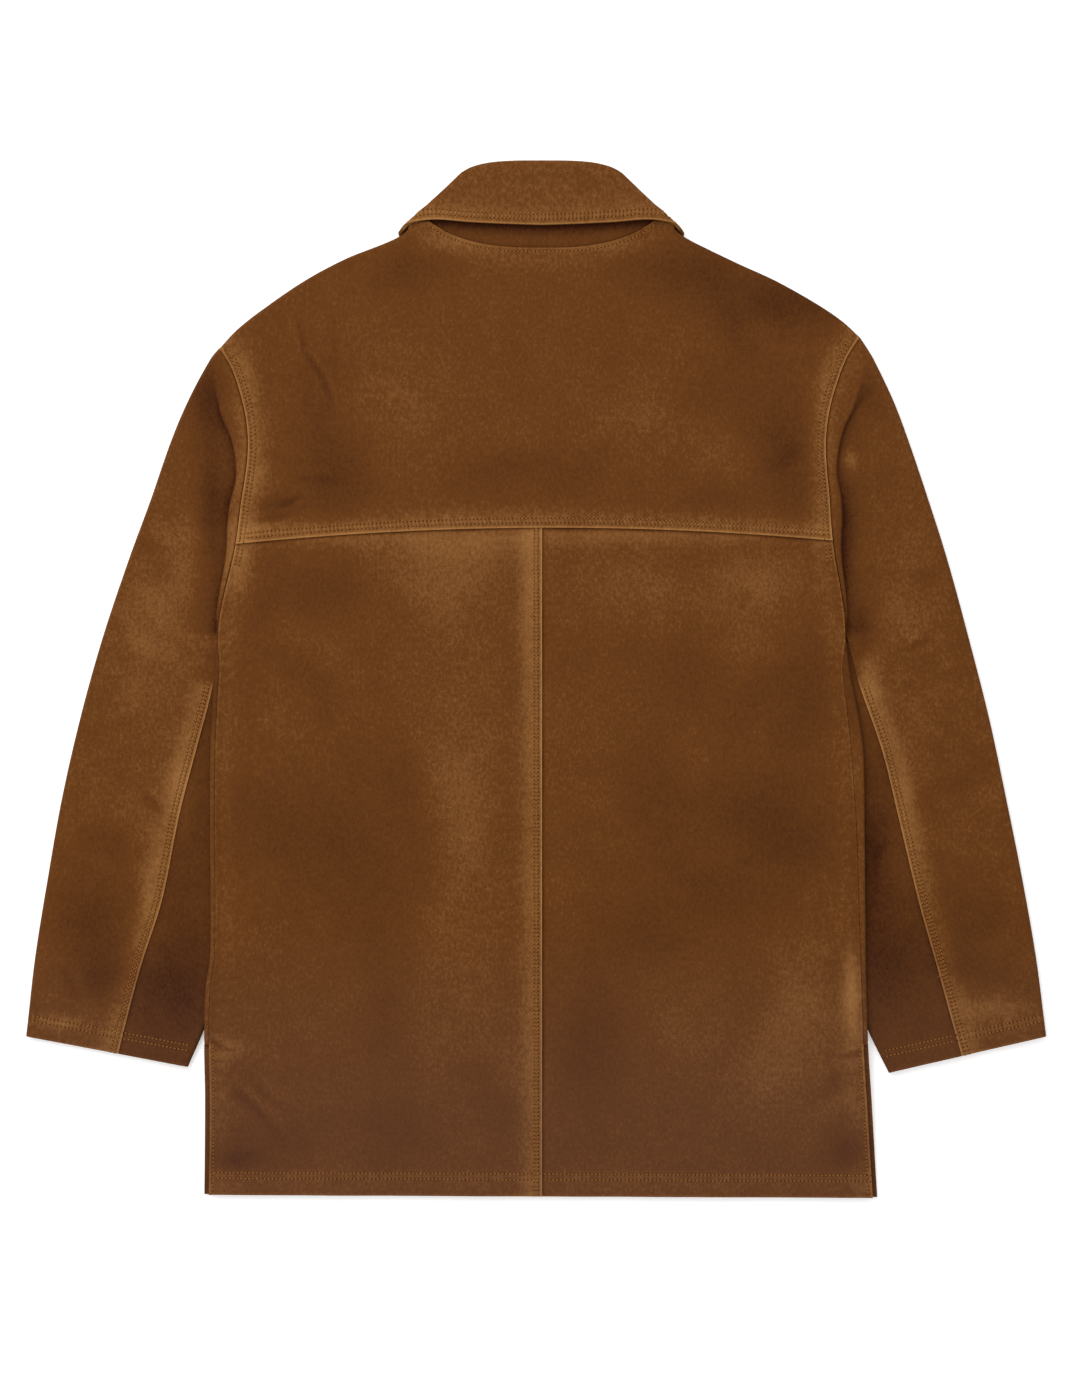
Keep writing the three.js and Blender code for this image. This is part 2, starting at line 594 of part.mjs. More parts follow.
// Section of the upper sleeve: along the top layer, round the outer fold, back along the bottom
function sleeveSection({ top, outer, bottom, topZ, strip, outerZ, floorZ, bottomZ }) {
  const radius = (outerZ - floorZ) / 2;
  const ahead = outer.clone().sub(top).normalize();
  const start = outer.clone().addScaledVector(ahead, -radius);
  const length = start.clone().sub(top).length();
  const points = [];
  for (let i = 0; i < TOP_COLUMNS; i += 1) {
    const even = (i / (TOP_COLUMNS - 1)) * length;
    const near = [0, strip.width / 2, strip.width, strip.width + STEP_COLUMN][i];
    const kept = near === undefined ? 0 : strip.amount;
    const reach = mix(even, Math.min(near ?? even, even + COLUMN_SHIFT), kept);
    const place = top.clone().addScaledVector(ahead, reach);
    points.push(new THREE.Vector3(place.x, place.y, topZ(place, reach)));
  }
  for (const part of FOLD_STEPS) {
    const angle = part * Math.PI;
    const place = start.clone().addScaledVector(ahead, radius * Math.sin(angle));
    points.push(new THREE.Vector3(place.x, place.y, floorZ + radius * (1 + Math.cos(angle))));
  }
  for (const part of BOTTOM_PARTS) {
    const place = start.clone().lerp(bottom, part);
    points.push(new THREE.Vector3(place.x, place.y, mix(floorZ, bottomZ, part)));
  }
  return points;
}

// Rows of the upper sleeve round the armhole, from the shoulder tip to the armpit
function sleeveHeadRow(side, share) {
  const settle = ease((share - SETTLE_SHARE) / (1 - SETTLE_SHARE));
  const out = new THREE.Vector2(side.sign * SEAM_GAP, 0);
  const top = armholePoint(side, share, 'back').add(out);
  const bottom = armholePoint(side, share, 'front').add(out);
  const row = (name) => read(ARMHOLE, 'share', name, share);
  const tip = shoulderPoint(side, 1);
  const started = ease(share / STARTED_SHARE);
  const outer = new THREE.Vector2(side.sign * (read(SLEEVE_EDGE, 'y', side.name, top.y) - WALL / 2), top.y);
  if (share === 0) {
    const along = new THREE.Vector2(side.sign * tip.out.y, -Math.abs(tip.out.x));
    top.addScaledVector(along, SEAM_GAP * 2);
    bottom.copy(top);
    outer.copy(top).addScaledVector(tip.out, (yokeLevel(top.x, top.y) - frontLevel(top.x, top.y)) / 2 + 1);
  }
  const high = mix(yokeLevel(top.x, top.y), SLEEVE_TUCKED + SLEEVE_HEAD_LIFT, settle);
  const low = mix(frontLevel(bottom.x, bottom.y), FLOOR_LEVEL + SLEEVE_FOOT_LIFT, settle);
  const outerZ = mix(high, SLEEVE_TOP, started);
  const run = mix(SLOPE_RUN, STEP_RUN, row('step'));
  return sleeveSection({
    top,
    outer,
    bottom,
    outerZ,
    floorZ: mix(low, FLOOR_LEVEL, started),
    bottomZ: low,
    strip: { width: row('strip'), amount: clamp(share / STARTED_SHARE) },
    topZ: (place, reach) => {
      const below = ease((reach - row('strip')) / run);
      return mix(high, outerZ, below) - below * foldDepth(SLEEVE_FOLDS, place.x, place.y);
    },
  });
}

// Rows of the upper sleeve below the armpit, from the back seam to the front seam
function sleeveArmRow(side, share) {
  const line = sleeveLine(side, share);
  const across = line.outer.clone().sub(line.inner).normalize();
  const at = (part) => line.inner.clone().lerp(line.outer, part).addScaledVector(across, SEAM_GAP / 2);
  return sleeveSection({
    top: at(line.backSeam),
    outer: line.outer,
    bottom: at(line.frontSeam),
    outerZ: SLEEVE_TOP,
    floorZ: FLOOR_LEVEL,
    bottomZ: FLOOR_LEVEL,
    strip: { width: 1, amount: 1 - ease(share / STARTED_SHARE) },
    topZ: (place) => sleeveLevel(side, place.x, place.y),
  });
}

function upperSleeve(side) {
  const rows = [
    ...ARMHOLE.map((row) => sleeveHeadRow(side, row.share)),
    ...SLEEVE_SHARES.map((share) => sleeveArmRow(side, share)),
  ];
  const ordered = side.sign > 0 ? rows.reverse() : rows;
  return suede(`sleeve_upper_${side.name}`, SUEDE, ordered);
}

// Under sleeve: from the back seam in along the top layer, round the hidden fold and back to the
// front seam
function underSleeve(side) {
  const rows = SLEEVE_SHARES.map((share) => {
    const line = sleeveLine(side, share);
    const across = line.outer.clone().sub(line.inner).normalize();
    const radius = (SLEEVE_TUCKED - FLOOR_LEVEL) / 2;
    const start = line.inner.clone().addScaledVector(across, radius + WALL / 2);
    const seam = (part) => line.inner.clone().lerp(line.outer, part).addScaledVector(across, -SEAM_GAP / 2);
    const points = [];
    for (const part of [0, 0.12, 0.25, 0.5, 0.75, 1]) {
      const place = seam(line.backSeam).lerp(start, part);
      points.push(new THREE.Vector3(place.x, place.y, sleeveLevel(side, place.x, place.y)));
    }
    const turnZ = (points.at(-1).z - FLOOR_LEVEL) / 2;
    for (const part of FOLD_STEPS) {
      const angle = part * Math.PI;
      const place = start.clone().addScaledVector(across, -radius * Math.sin(angle));
      points.push(new THREE.Vector3(place.x, place.y, FLOOR_LEVEL + turnZ * (1 + Math.cos(angle))));
    }
    for (const part of [0.5, 1]) {
      const place = start.clone().lerp(seam(line.frontSeam), part);
      points.push(new THREE.Vector3(place.x, place.y, FLOOR_LEVEL));
    }
    return points;
  });
  const ordered = side.sign > 0 ? rows : rows.reverse();
  return suede(`sleeve_under_${side.name}`, SUEDE_DARK, ordered);
}

// Collar: the stand runs up from the neck seam, and the leaf rolls over its top and down outside it
function collar() {
  const right = COLLAR_STATIONS.map((station) => collarStation(1, station));
  const left = COLLAR_STATIONS.slice(1).map((station) => collarStation(-1, station));
  const stations = [...left.reverse(), ...right];
  const standColumns = [];
  const fallColumns = [];
  for (const { neck, fold, leaf, up, out, radius } of stations) {
    const rise = fold.clone().addScaledVector(up, -radius - WALL / 2);
    const join = neck.clone().lerp(rise, STAND_TOP_SHARE);
    const foot = neck.clone().addScaledVector(up, SEAM_GAP);
    standColumns.push([0, 0.33, 0.66, 1].map((part) => foot.clone().lerp(join, part)));
    const roll = FOLD_STEPS.map((part) => {
      const angle = part * Math.PI;
      return rise.clone().addScaledVector(up, radius * Math.sin(angle))
        .addScaledVector(out, radius * (1 - Math.cos(angle)));
    });
    const over = roll.at(-1);
    const fallFoot = join.clone().addScaledVector(up, SEAM_GAP * 5);
    const drop = [0.25, 0.5, 0.75, 1].map((part) => over.clone().lerp(leaf, part));
    fallColumns.push([fallFoot, rise, ...roll, ...drop]);
  }
  const rows = (columns) => columns[0].map((_, k) => columns.map((column) => column[k]));
  return [
    suede('collar_stand', SUEDE_DARK, rows(standColumns)),
    suede('collar_fall', SUEDE, rows(fallColumns)),
  ];
}

jacket.add(yoke());
for (const side of SIDES) jacket.add(backPanel(side), frontPanel(side), upperSleeve(side), underSleeve(side));
jacket.add(...collar());

export default jacket;
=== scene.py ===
import math

import bpy
import numpy as np
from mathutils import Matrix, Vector
from mathutils.bvhtree import BVHTree


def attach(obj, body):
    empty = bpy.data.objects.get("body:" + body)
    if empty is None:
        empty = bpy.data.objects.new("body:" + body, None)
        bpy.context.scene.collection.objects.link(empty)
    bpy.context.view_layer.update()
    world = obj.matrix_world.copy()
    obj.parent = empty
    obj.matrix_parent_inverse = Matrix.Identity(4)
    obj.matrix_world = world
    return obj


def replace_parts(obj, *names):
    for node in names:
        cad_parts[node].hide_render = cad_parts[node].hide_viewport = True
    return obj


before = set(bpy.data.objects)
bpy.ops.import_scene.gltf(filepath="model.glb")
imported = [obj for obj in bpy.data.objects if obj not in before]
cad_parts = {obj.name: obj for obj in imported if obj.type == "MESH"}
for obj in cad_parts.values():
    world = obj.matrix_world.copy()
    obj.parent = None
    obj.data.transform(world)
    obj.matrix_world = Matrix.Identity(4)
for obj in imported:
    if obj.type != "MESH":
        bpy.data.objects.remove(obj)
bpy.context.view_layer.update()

# Camera and room. The jacket lies face down on a pale surface and is seen from straight above,
# as in the photograph, under one broad soft light from the collar's left and an even sky.
MM = 0.001
PHOTO_SIZE = (1080, 1378)
PIXEL_MM = 0.82
MIDDLE_PIXEL = (536.5, 679.5)
LENS_MM = 85
SENSOR_MM = 36
JACKET_TOP_MM = 7


def pixel_place(across, down):
    """Place in millimetres of a pixel: its distance from the middle pixel times the pixel's size."""
    return (across - MIDDLE_PIXEL[0]) * PIXEL_MM, (MIDDLE_PIXEL[1] - down) * PIXEL_MM


def aim(thing, place, target):
    """Puts a lamp at a place in metres, with its -Z axis towards the target."""
    thing.location = place
    thing.rotation_euler = (Vector(target) - Vector(place)).to_track_quat("-Z", "Y").to_euler()


camera = bpy.data.objects.new("camera", bpy.data.cameras.new("camera"))
camera.data.lens = LENS_MM
camera.data.sensor_width = SENSOR_MM
camera.data.clip_end = 20
centre_x, centre_y = pixel_place(PHOTO_SIZE[0] / 2, PHOTO_SIZE[1] / 2)
distance = PHOTO_SIZE[1] * PIXEL_MM * LENS_MM / SENSOR_MM + JACKET_TOP_MM
camera.location = (centre_x * MM, centre_y * MM, distance * MM)
bpy.context.scene.collection.objects.link(camera)
bpy.context.scene.camera = camera
bpy.context.scene.view_settings.view_transform = "Standard"


class Shade:
    """A socket of a material. Arithmetic on it adds Math nodes, and make() adds any other node."""

    def __init__(self, tree, socket=None):
        self.tree = tree
        self.socket = socket

    def make(self, kind, settings=None, sockets=None, output=0):
        """Adds a node of a kind: its settings first, then the values or links of its sockets."""
        node = self.tree.nodes.new(kind)
        for name, value in (settings or {}).items():
            setattr(node, name, value)
        for name, value in (sockets or {}).items():
            if isinstance(value, Shade):
                self.tree.links.new(value.socket, node.inputs[name])
            else:
                node.inputs[name].default_value = value
        return Shade(self.tree, node.outputs[output] if node.outputs else None)

    def math(self, operation, left, right):
        return self.make("ShaderNodeMath", {"operation": operation}, {0: left, 1: right})

    def __add__(self, other):
        return self.math("ADD", self, other)

    def __sub__(self, other):
        return self.math("SUBTRACT", self, other)

    def __mul__(self, other):
        return self.math("MULTIPLY", self, other)


def new_material(name):
    """An empty node material, with its tree and its output node."""
    material = bpy.data.materials.new(name)
    material.use_nodes = True
    material.node_tree.nodes.clear()
    return material, Shade(material.node_tree)


def finish_material(shade, surface):
    """Joins a surface to the material's output."""
    shade.make("ShaderNodeOutputMaterial", None, {"Surface": surface})


def noise(shade, scale, detail, place, roughness=0.5):
    """Noise with so many features to the metre, from 0 to 1 with its middle at 0.5."""
    values = {"Vector": place, "Scale": scale, "Detail": detail, "Roughness": roughness}
    return shade.make("ShaderNodeTexNoise", None, values)


def srgb(red, green, blue):
    """Linear colour from screen values of 0 to 255, by the display curve's power part."""
    return tuple(((value / 255 + 0.055) / 1.055) ** 2.4 for value in (red, green, blue)) + (1,)


def blend_colours(shade, amount, low, high):
    """Mix of two colours by an amount from 0 to 1."""
    mixed = {"data_type": "RGBA", "clamp_factor": True}
    return shade.make("ShaderNodeMix", mixed, {0: amount, 6: low, 7: high}, output=2)


FLOOR_HALF = 3.0
FLOOR_DROP = -0.0009
FLOOR_GLOW = 0.3
FLOOR_COLOUR = srgb(242, 242, 241)
FLOOR_LIGHT = srgb(246, 246, 245)
FLOOR_GRAIN_PER_M = 9
LAMP_SIZE = 2.2
LAMP_PLACE = (-1.5, 1.7, 2.3)
LAMP_WATTS = 62
SKY_STRENGTH = 0.86

floor_mesh = bpy.data.meshes.new("floor")
floor_signs = [(-1, -1), (1, -1), (1, 1), (-1, 1)]
floor_corners = [(x * FLOOR_HALF, y * FLOOR_HALF, FLOOR_DROP) for x, y in floor_signs]
floor_mesh.from_pydata(floor_corners, [], [(0, 1, 2, 3)])
floor = bpy.data.objects.new("floor", floor_mesh)
bpy.context.scene.collection.objects.link(floor)
floor_material, shade = new_material("pale_floor")
floor_grain = noise(shade, FLOOR_GRAIN_PER_M, 2, shade.make("ShaderNodeTexCoord", output=3))
floor_shade = blend_colours(shade, floor_grain, FLOOR_COLOUR, FLOOR_LIGHT)
floor_finish = {"Base Color": floor_shade, "Roughness": 0.8, "Emission Color": (1, 1, 1, 1),
                "Emission Strength": FLOOR_GLOW}
finish_material(shade, shade.make("ShaderNodeBsdfPrincipled", None, floor_finish))
floor_mesh.materials.append(floor_material)

lamp = bpy.data.objects.new("lamp", bpy.data.lights.new("lamp", "AREA"))
lamp.data.size = LAMP_SIZE
lamp.data.energy = LAMP_WATTS
aim(lamp, LAMP_PLACE, (0, 0, 0))
bpy.context.scene.collection.objects.link(lamp)

sky = bpy.data.worlds.new("sky")
sky.use_nodes = True
sky.node_tree.nodes["Background"].inputs["Color"].default_value = (1, 1, 1, 1)
sky.node_tree.nodes["Background"].inputs["Strength"].default_value = SKY_STRENGTH
bpy.context.scene.world = sky

# Suede. One finish serves every cut piece: a brushed brown nap, mottled where the hide took the dye
# unevenly and lighter where it is rubbed along seams, with painted light on the ridges of folds and
# painted shade in hollows, creases and where one layer lies over another. The attribute "tone"
# carries what a piece's own shape gives it, painted light and shade among it: 0 is the darkest and 1
# the lightest brown, and "cloudy" how strongly the hide's own mottling shows. Along the rows of
# stitches the suede is drawn into a ladder of puckers, one to a stitch, with painted light and shade
# that follow their height: "run" is the way along the row in millimetres, and "ladder" how strongly
# the puckers show.
SUEDE_DARK = srgb(52, 22, 6)
SUEDE_MIDDLE = srgb(94, 54, 20)
SUEDE_LIGHT = srgb(150, 104, 58)
HEM_TINT = srgb(78, 55, 50)
HEM_TINT_SHARE = 0.22
HEM_TINT_START_M = -0.2
HEM_TINT_RUN_M = 0.15
SHEEN_BROWN = srgb(190, 135, 80)
BLOTCHES_PER_M = 11
MOTTLES_PER_M = 62
GRAIN_PER_M = 330
NAP_PER_M = 950
BRUSHED = (1.25, 0.8, 1)
BLOTCH_TONE = 0.5
MOTTLE_TONE = 0.6
GRAIN_TONE = 0.46
NAP_TONE = 0.26
PUCKER_SHADING = 0.09
GRAIN_RELIEF = 0.6
NAP_RELIEF = 0.4
PUCKER_RELIEF = 0.5
PUCKER_WANDER = 4
RELIEF_M = 0.0006
STITCH_PITCH = 3.2


def suede_material():
    """Brown from dark to light by tone plus four sizes of noise, with the finest two as bump, and
    a cooler tint that comes in towards the hem."""
    material, shade = new_material("suede")
    place = shade.make("ShaderNodeTexCoord", output=3)
    tone = shade.make("ShaderNodeAttribute", {"attribute_name": "tone"}, output=2)
    cloudy = shade.make("ShaderNodeAttribute", {"attribute_name": "cloudy"}, output=2)
    blotches = noise(shade, BLOTCHES_PER_M, 2, place)
    mottles = noise(shade, MOTTLES_PER_M, 3, place, 0.6)
    brushed = shade.make("ShaderNodeMapping", None, {"Vector": place, "Scale": BRUSHED})
    grain = noise(shade, GRAIN_PER_M, 3, brushed, 0.65)
    nap = noise(shade, NAP_PER_M, 2, place)
    run = shade.make("ShaderNodeAttribute", {"attribute_name": "run"}, output=2)
    ladder = shade.make("ShaderNodeAttribute", {"attribute_name": "ladder"}, output=2)
    puckers = shade.math("SINE", run * (2 * math.pi / STITCH_PITCH) + mottles * PUCKER_WANDER, 0) * ladder
    clouds = (blotches - 0.5) * BLOTCH_TONE + (mottles - 0.5) * MOTTLE_TONE
    fine = (grain - 0.5) * GRAIN_TONE
    # The puckers' part of the level is painted light and shade that follows their height in the bump.
    level = tone + clouds * cloudy + puckers * PUCKER_SHADING + fine + (nap - 0.5) * NAP_TONE
    dark_half = blend_colours(shade, level * 2, SUEDE_DARK, SUEDE_MIDDLE)
    colour = blend_colours(shade, level * 2 - 1, dark_half, SUEDE_LIGHT)
    along = shade.make("ShaderNodeSeparateXYZ", None, {"Vector": place}, output=1)
    near_hem = along * (-1 / HEM_TINT_RUN_M) + HEM_TINT_START_M / HEM_TINT_RUN_M
    near_hem = shade.math("MAXIMUM", shade.math("MINIMUM", near_hem, 1), 0)
    colour = blend_colours(shade, near_hem * HEM_TINT_SHARE, colour, HEM_TINT)
    height = grain * GRAIN_RELIEF + nap * NAP_RELIEF + puckers * PUCKER_RELIEF
    bump = shade.make("ShaderNodeBump", None, {"Strength": 0.35, "Distance": RELIEF_M, "Height": height})
    finish = {"Base Color": colour, "Normal": bump, "Roughness": 0.95, "Specular IOR Level": 0.08,
              "Sheen Weight": 0.05, "Sheen Roughness": 0.45, "Sheen Tint": SHEEN_BROWN}
    finish_material(shade, shade.make("ShaderNodeBsdfPrincipled", None, finish))
    return material


suede = suede_material()

# Yoke. One piece of suede across the shoulders, folded over the shoulder edge to a seam on the
# underside. Its lower edge is turned in and lapped over the two back panels with two rows of stitches.
WALL = 1.6
SEAM_GAP = 0.3
ARMPIT_Y = 40
YOKE_SEAM_RISE = 12
YOKE_SEAM_SHARE = 0.69
SHOULDER_RUN = 12
NECK_X = 4
NECK_TURN = 8
SIDE_NAME = {-1: "left", 1: "right"}


def table(names, rows):
    """Columns of a short table by name, each as an array."""
    return dict(zip(names.split(), np.array(rows, dtype=float).T))


def mix(low, high, share):
    """Straight blend: low at share 0 and high at share 1."""
    return low + (high - low) * share


def smooth(share):
    """Soft step: 3t^2 - 2t^3 of the share held between 0 and 1."""
    share = np.clip(share, 0, 1)
    return share * share * (3 - 2 * share)


def read(rows, key, name, at):
    """Cubic Hermite curve through one column against the key column, held at its ends. Each row's
    slope is that of the line through its two neighbours."""
    order = np.argsort(rows[key])
    keys = rows[key][order]
    values = rows[name][order]
    last = len(keys) - 1
    before = np.maximum(np.arange(last + 1) - 1, 0)
    after = np.minimum(np.arange(last + 1) + 1, last)
    slopes = (values[after] - values[before]) / (keys[after] - keys[before])
    i = np.clip(np.searchsorted(keys, at, side="right") - 1, 0, last - 1)
    span = keys[i + 1] - keys[i]
    t = np.clip((at - keys[i]) / span, 0, 1)
    rise = (2 * t**3 - 3 * t**2 + 1) * values[i] + (3 * t**2 - 2 * t**3) * values[i + 1]
    return rise + span * ((t**3 - 2 * t**2 + t) * slopes[i] + (t**3 - t**2) * slopes[i + 1])


# Side edge of the body, and how far inside it the side seam runs
BODY_EDGE = table("y left right left_seam right_seam", [
    (40, 261, 253, 3, 3),
    (6, 264, 257, 4, 6),
    (-27, 266, 263.5, 4, 9),
    (-60, 267.5, 268, 4, 10),
    (-120, 267.7, 269, 4, 7),
    (-227, 267.7, 270, 4, 4.5),
    (-255, 271.5, 270.5, 4, 4),
    (-300, 272.5, 272, 4, 4),
    (-345, 272, 275, 4, 4),
    (-425, 273, 280, 4, 4),
])

# How far the sleeve is tucked under the body, in from its side edge
TUCK = table("y width", [
    (110, -45),
    (70, -20),
    (42, 2),
    (20, 22),
    (0, 42),
    (-25, 60),
    (-55, 69),
    (-95, 69),
    (-130, 62),
    (-170, 46),
    (-215, 24),
    (-260, 8),
    (-286, 0),
    (-318, -14),
    (-360, -32),
    (-430, -62),
])

# Shoulder edge from the neck (share 0) to the sleeve (share 1)
SHOULDER = table("share left right", [
    (0, 376, 376),
    (0.1, 366, 366.5),
    (0.2, 358, 357.3),
    (0.4, 344.7, 341.7),
    (0.6, 326.3, 326.4),
    (0.8, 302.5, 307),
    (0.92, 286, 293),
    (1, 271, 280),
])
SHOULDER_NECK = {-1: 90, 1: 98}
SHOULDER_TIP = {-1: 260.4, 1: 265.3}

# Armhole from the shoulder tip (share 0) to the armpit (share 1): how far the back and the front are
# cut in from the straight line, where the sleeve's strip folds under, and how deep it steps down
ARMHOLE = table("share back front strip step", [
    (0, 0, 0, 8, 0),
    (0.06, 8, 10, 14, 0),
    (0.13, 14, 19, 18, 0.3),
    (0.22, 19.5, 28, 18, 0.8),
    (0.3, 22, 33, 12.5, 1),
    (0.38, 22, 36, 8.5, 1),
    (0.46, 20, 37, 6.2, 1),
    (0.54, 17.3, 36, 7.8, 1),
    (0.62, 15.3, 33.5, 7.8, 1),
    (0.69, 13.2, 29, 5.5, 1),
    (0.77, 9.5, 22, 3.5, 1),
    (0.86, 4.8, 10, 2.5, 1),
    (0.94, 1.4, 1.2, 1.5, 1),
    (1, 0, 0, 1, 1),
])

# Half of the collar from the centre back (station 0) to the centre front (station 10): how far it
# has turned round the neck, its neck seam, the top of its roll and the edge of its leaf
COLLAR = table("station turn neck_x neck_y fold_x fold_y leaf_x leaf_y", [
    (0, 0, 0, 354, 0, 425.2, 0, 372),
    (1, 0, 27, 354.5, 23, 425, 30, 373),
    (2, 0, 52, 358, 42, 423.5, 60, 374.5),
    (3, 12, 74, 365, 55, 420, 87, 376.5),
    (4, 45, 88, 373, 61, 415, 107, 373.5),
    (5, 90, 92.5, 375.5, 62.5, 411, 115.5, 366.5),
    (6, 160, 92, 368, 62, 406, 116.5, 361),
    (7, 178, 90, 350, 55, 386, 114, 334),
    (8, 180, 78, 318, 40, 350, 102, 292),
    (9, 180, 50, 287, 22, 312, 82, 252),
    (10, 180, 6, 266, 2.5, 286, 60, 224),
])


def side_column(rows, sign, at):
    """The left or the right column of a table keyed by y, by the sign of the side."""
    return np.where(np.asarray(sign) < 0, read(rows, "y", "left", at), read(rows, "y", "right", at))


def body_edge(sign, y):
    """Distance from the middle line to the body's side edge."""
    return side_column(BODY_EDGE, sign, y)


def inner_fold(sign, y):
    """Distance from the middle line to the sleeve's hidden fold: the body's edge less the tuck."""
    return body_edge(sign, y) - read(TUCK, "y", "width", y)


# Lifts of the cloth in millimetres over what lies under it, and the lengths that they rise over
TUCK_LIFT = 5.3
TUCK_MARGIN = 8
TUCK_RAMP = 57
ARMHOLE_LIFT = 2.2
ARMHOLE_LIFT_X = 200
ARMHOLE_LIFT_RUN = 35
ARMHOLE_LIFT_Y = 10
ARMHOLE_LIFT_RISE = 50
COLLAR_LIFT = 2.4
COLLAR_MIDDLE_Y = 330
COLLAR_REACH = 126
COLLAR_RAMP = 49
BODY_DEPTH = 4.4
TUCK_DEPTH = 3.0
YOKE_LIFT = 0.5


def tucked(x, y):
    """1 where a sleeve is tucked under the body, falling softly to 0 further in."""
    return smooth((np.abs(x) - inner_fold(x, y) + TUCK_MARGIN) / TUCK_RAMP + 1)


def front_level(x, y):
    """Height of the fronts: half a wall over the floor, plus the length of three lifts taken as
    sides at right angles: over the tucked sleeves, at the armholes and over the collar's leaf."""
    armhole = ARMHOLE_LIFT * smooth((np.abs(x) - ARMHOLE_LIFT_X) / ARMHOLE_LIFT_RUN)
    armhole = armhole * smooth((y - ARMHOLE_LIFT_Y) / ARMHOLE_LIFT_RISE)
    from_neck = np.hypot(x - NECK_X, y - COLLAR_MIDDLE_Y)
    leaf = COLLAR_LIFT * smooth((COLLAR_REACH + COLLAR_RAMP - from_neck) / COLLAR_RAMP)
    return WALL / 2 + np.sqrt((TUCK_LIFT * tucked(x, y)) ** 2 + armhole**2 + leaf**2)


def back_level(x, y):
    """Height of the back panels: the fronts plus the air between, less over a tucked sleeve."""
    return front_level(x, y) + mix(BODY_DEPTH, TUCK_DEPTH, tucked(x, y))


def yoke_level(x, y):
    """Height of the yoke: the back's, and a small lift for the lap."""
    return back_level(x, y) + YOKE_LIFT


def plan(x, y):
    """Points in plan from two arrays."""
    return np.stack(np.broadcast_arrays(x, y), axis=-1).astype(float)


def at_height(xy, z):
    """Points in space from places in plan and their heights."""
    return np.concatenate([xy, z[..., None]], axis=-1)


def bell(away, half):
    """Bell curve exp(-t^2), with t the distance over the curve's half width."""
    return np.exp(-((away / half) ** 2))


def unit(vectors):
    """Vectors of length 1."""
    return vectors / np.maximum(np.linalg.norm(vectors, axis=-1, keepdims=True), 1e-9)


SHARE_STEP = 0.04


def shoulder_point(sign, share):
    """Places on the shoulder edge, and the directions straight out of it."""
    share = np.atleast_1d(share)

    def at(s):
        x = sign * mix(SHOULDER_NECK[sign], SHOULDER_TIP[sign], s)
        return plan(x, read(SHOULDER, "share", SIDE_NAME[sign], s))

    along = at(np.minimum(1, share + SHARE_STEP)) - at(np.maximum(0, share - SHARE_STEP))
    return at(share), unit(sign * plan(-along[:, 1], along[:, 0]))


def fold_start(edge, out):
    """Where the yoke stops being flat: the shoulder edge less the fold's radius and half a wall."""
    radius = (yoke_level(*edge.T) - front_level(*edge.T)) / 2
    return edge - out * (radius[:, None] + WALL / 2)


def shoulder_tip(sign):
    """The upper end of the armhole, on the shoulder fold."""
    return fold_start(*shoulder_point(sign, 1.0))[0]


def armhole_point(sign, share, cut):
    """Places on an armhole: a straight line from shoulder tip to armpit, cut in by the table."""
    tip = shoulder_tip(sign)
    x = mix(tip[0], sign * body_edge(sign, ARMPIT_Y), share) - sign * read(ARMHOLE, "share", cut, share)
    return plan(x, mix(tip[1], ARMPIT_Y, share))


def yoke_seam(share):
    """Places on the yoke seam: a line from armhole to armhole plus a low parabola."""
    left = armhole_point(-1, YOKE_SEAM_SHARE, "back")
    right = armhole_point(1, YOKE_SEAM_SHARE, "back")
    points = mix(left, right, np.atleast_1d(share)[:, None])
    points[:, 1] += YOKE_SEAM_RISE * 4 * share * (1 - share)
    return points


# Levels of the collar's seam and leaf and the radius of its roll: each a middle value and how far it
# swings up at the centre back and down at the centre front
STAND_LEVEL = 5.8
STAND_SWING = 2.0
LEAF_LEVEL = 6.3
LEAF_SWING = 5.5
ROLL_RADIUS = 1.95
ROLL_SWING = 0.45


def collar_station(sign, station):
    """Neck seam, top of the roll and leaf edge at a station, with the ways up the collar and out of
    the neck, and the roll's radius. The way out tips from up to down as the collar turns."""
    station = np.atleast_1d(station).astype(float)
    turn = np.radians(np.clip(read(COLLAR, "station", "turn", station), 0, 180))

    def place(name, z):
        x = NECK_X + sign * read(COLLAR, "station", name + "_x", station)
        return np.stack([x, read(COLLAR, "station", name + "_y", station), z], axis=-1)

    stand = STAND_LEVEL + STAND_SWING * np.cos(turn)
    neck = place("neck", stand)
    fold = place("fold", stand)
    leaf = place("leaf", LEAF_LEVEL + LEAF_SWING * np.cos(turn))
    up = unit(fold - neck)
    out = np.stack([up[:, 1] * sign * np.sin(turn), -up[:, 0] * sign * np.sin(turn), np.cos(turn)], axis=-1)
    return neck, fold, leaf, up, out, (ROLL_RADIUS + ROLL_SWING * np.cos(turn))[:, None]


def patch(us, vs, bottom, top, left, right):
    """Coons patch: the blend of left and right, plus how far the bottom and the top bow from their
    chords."""
    v = vs[:, None, None]
    bottom_bow = bottom - mix(bottom[0], bottom[-1], us[:, None])
    top_bow = top - mix(top[0], top[-1], us[:, None])
    return mix(left[:, None], right[:, None], us[None, :, None]) + bottom_bow * (1 - v) + top_bow * v


def spread(*stretches):
    """Rising numbers from stretches of (start, end, step), each end met exactly, with no repeats."""
    parts = [np.linspace(a, b, max(2, round(abs(b - a) / step) + 1)) for a, b, step in stretches]
    return np.concatenate([parts[0]] + [part[1:] for part in parts[1:]])


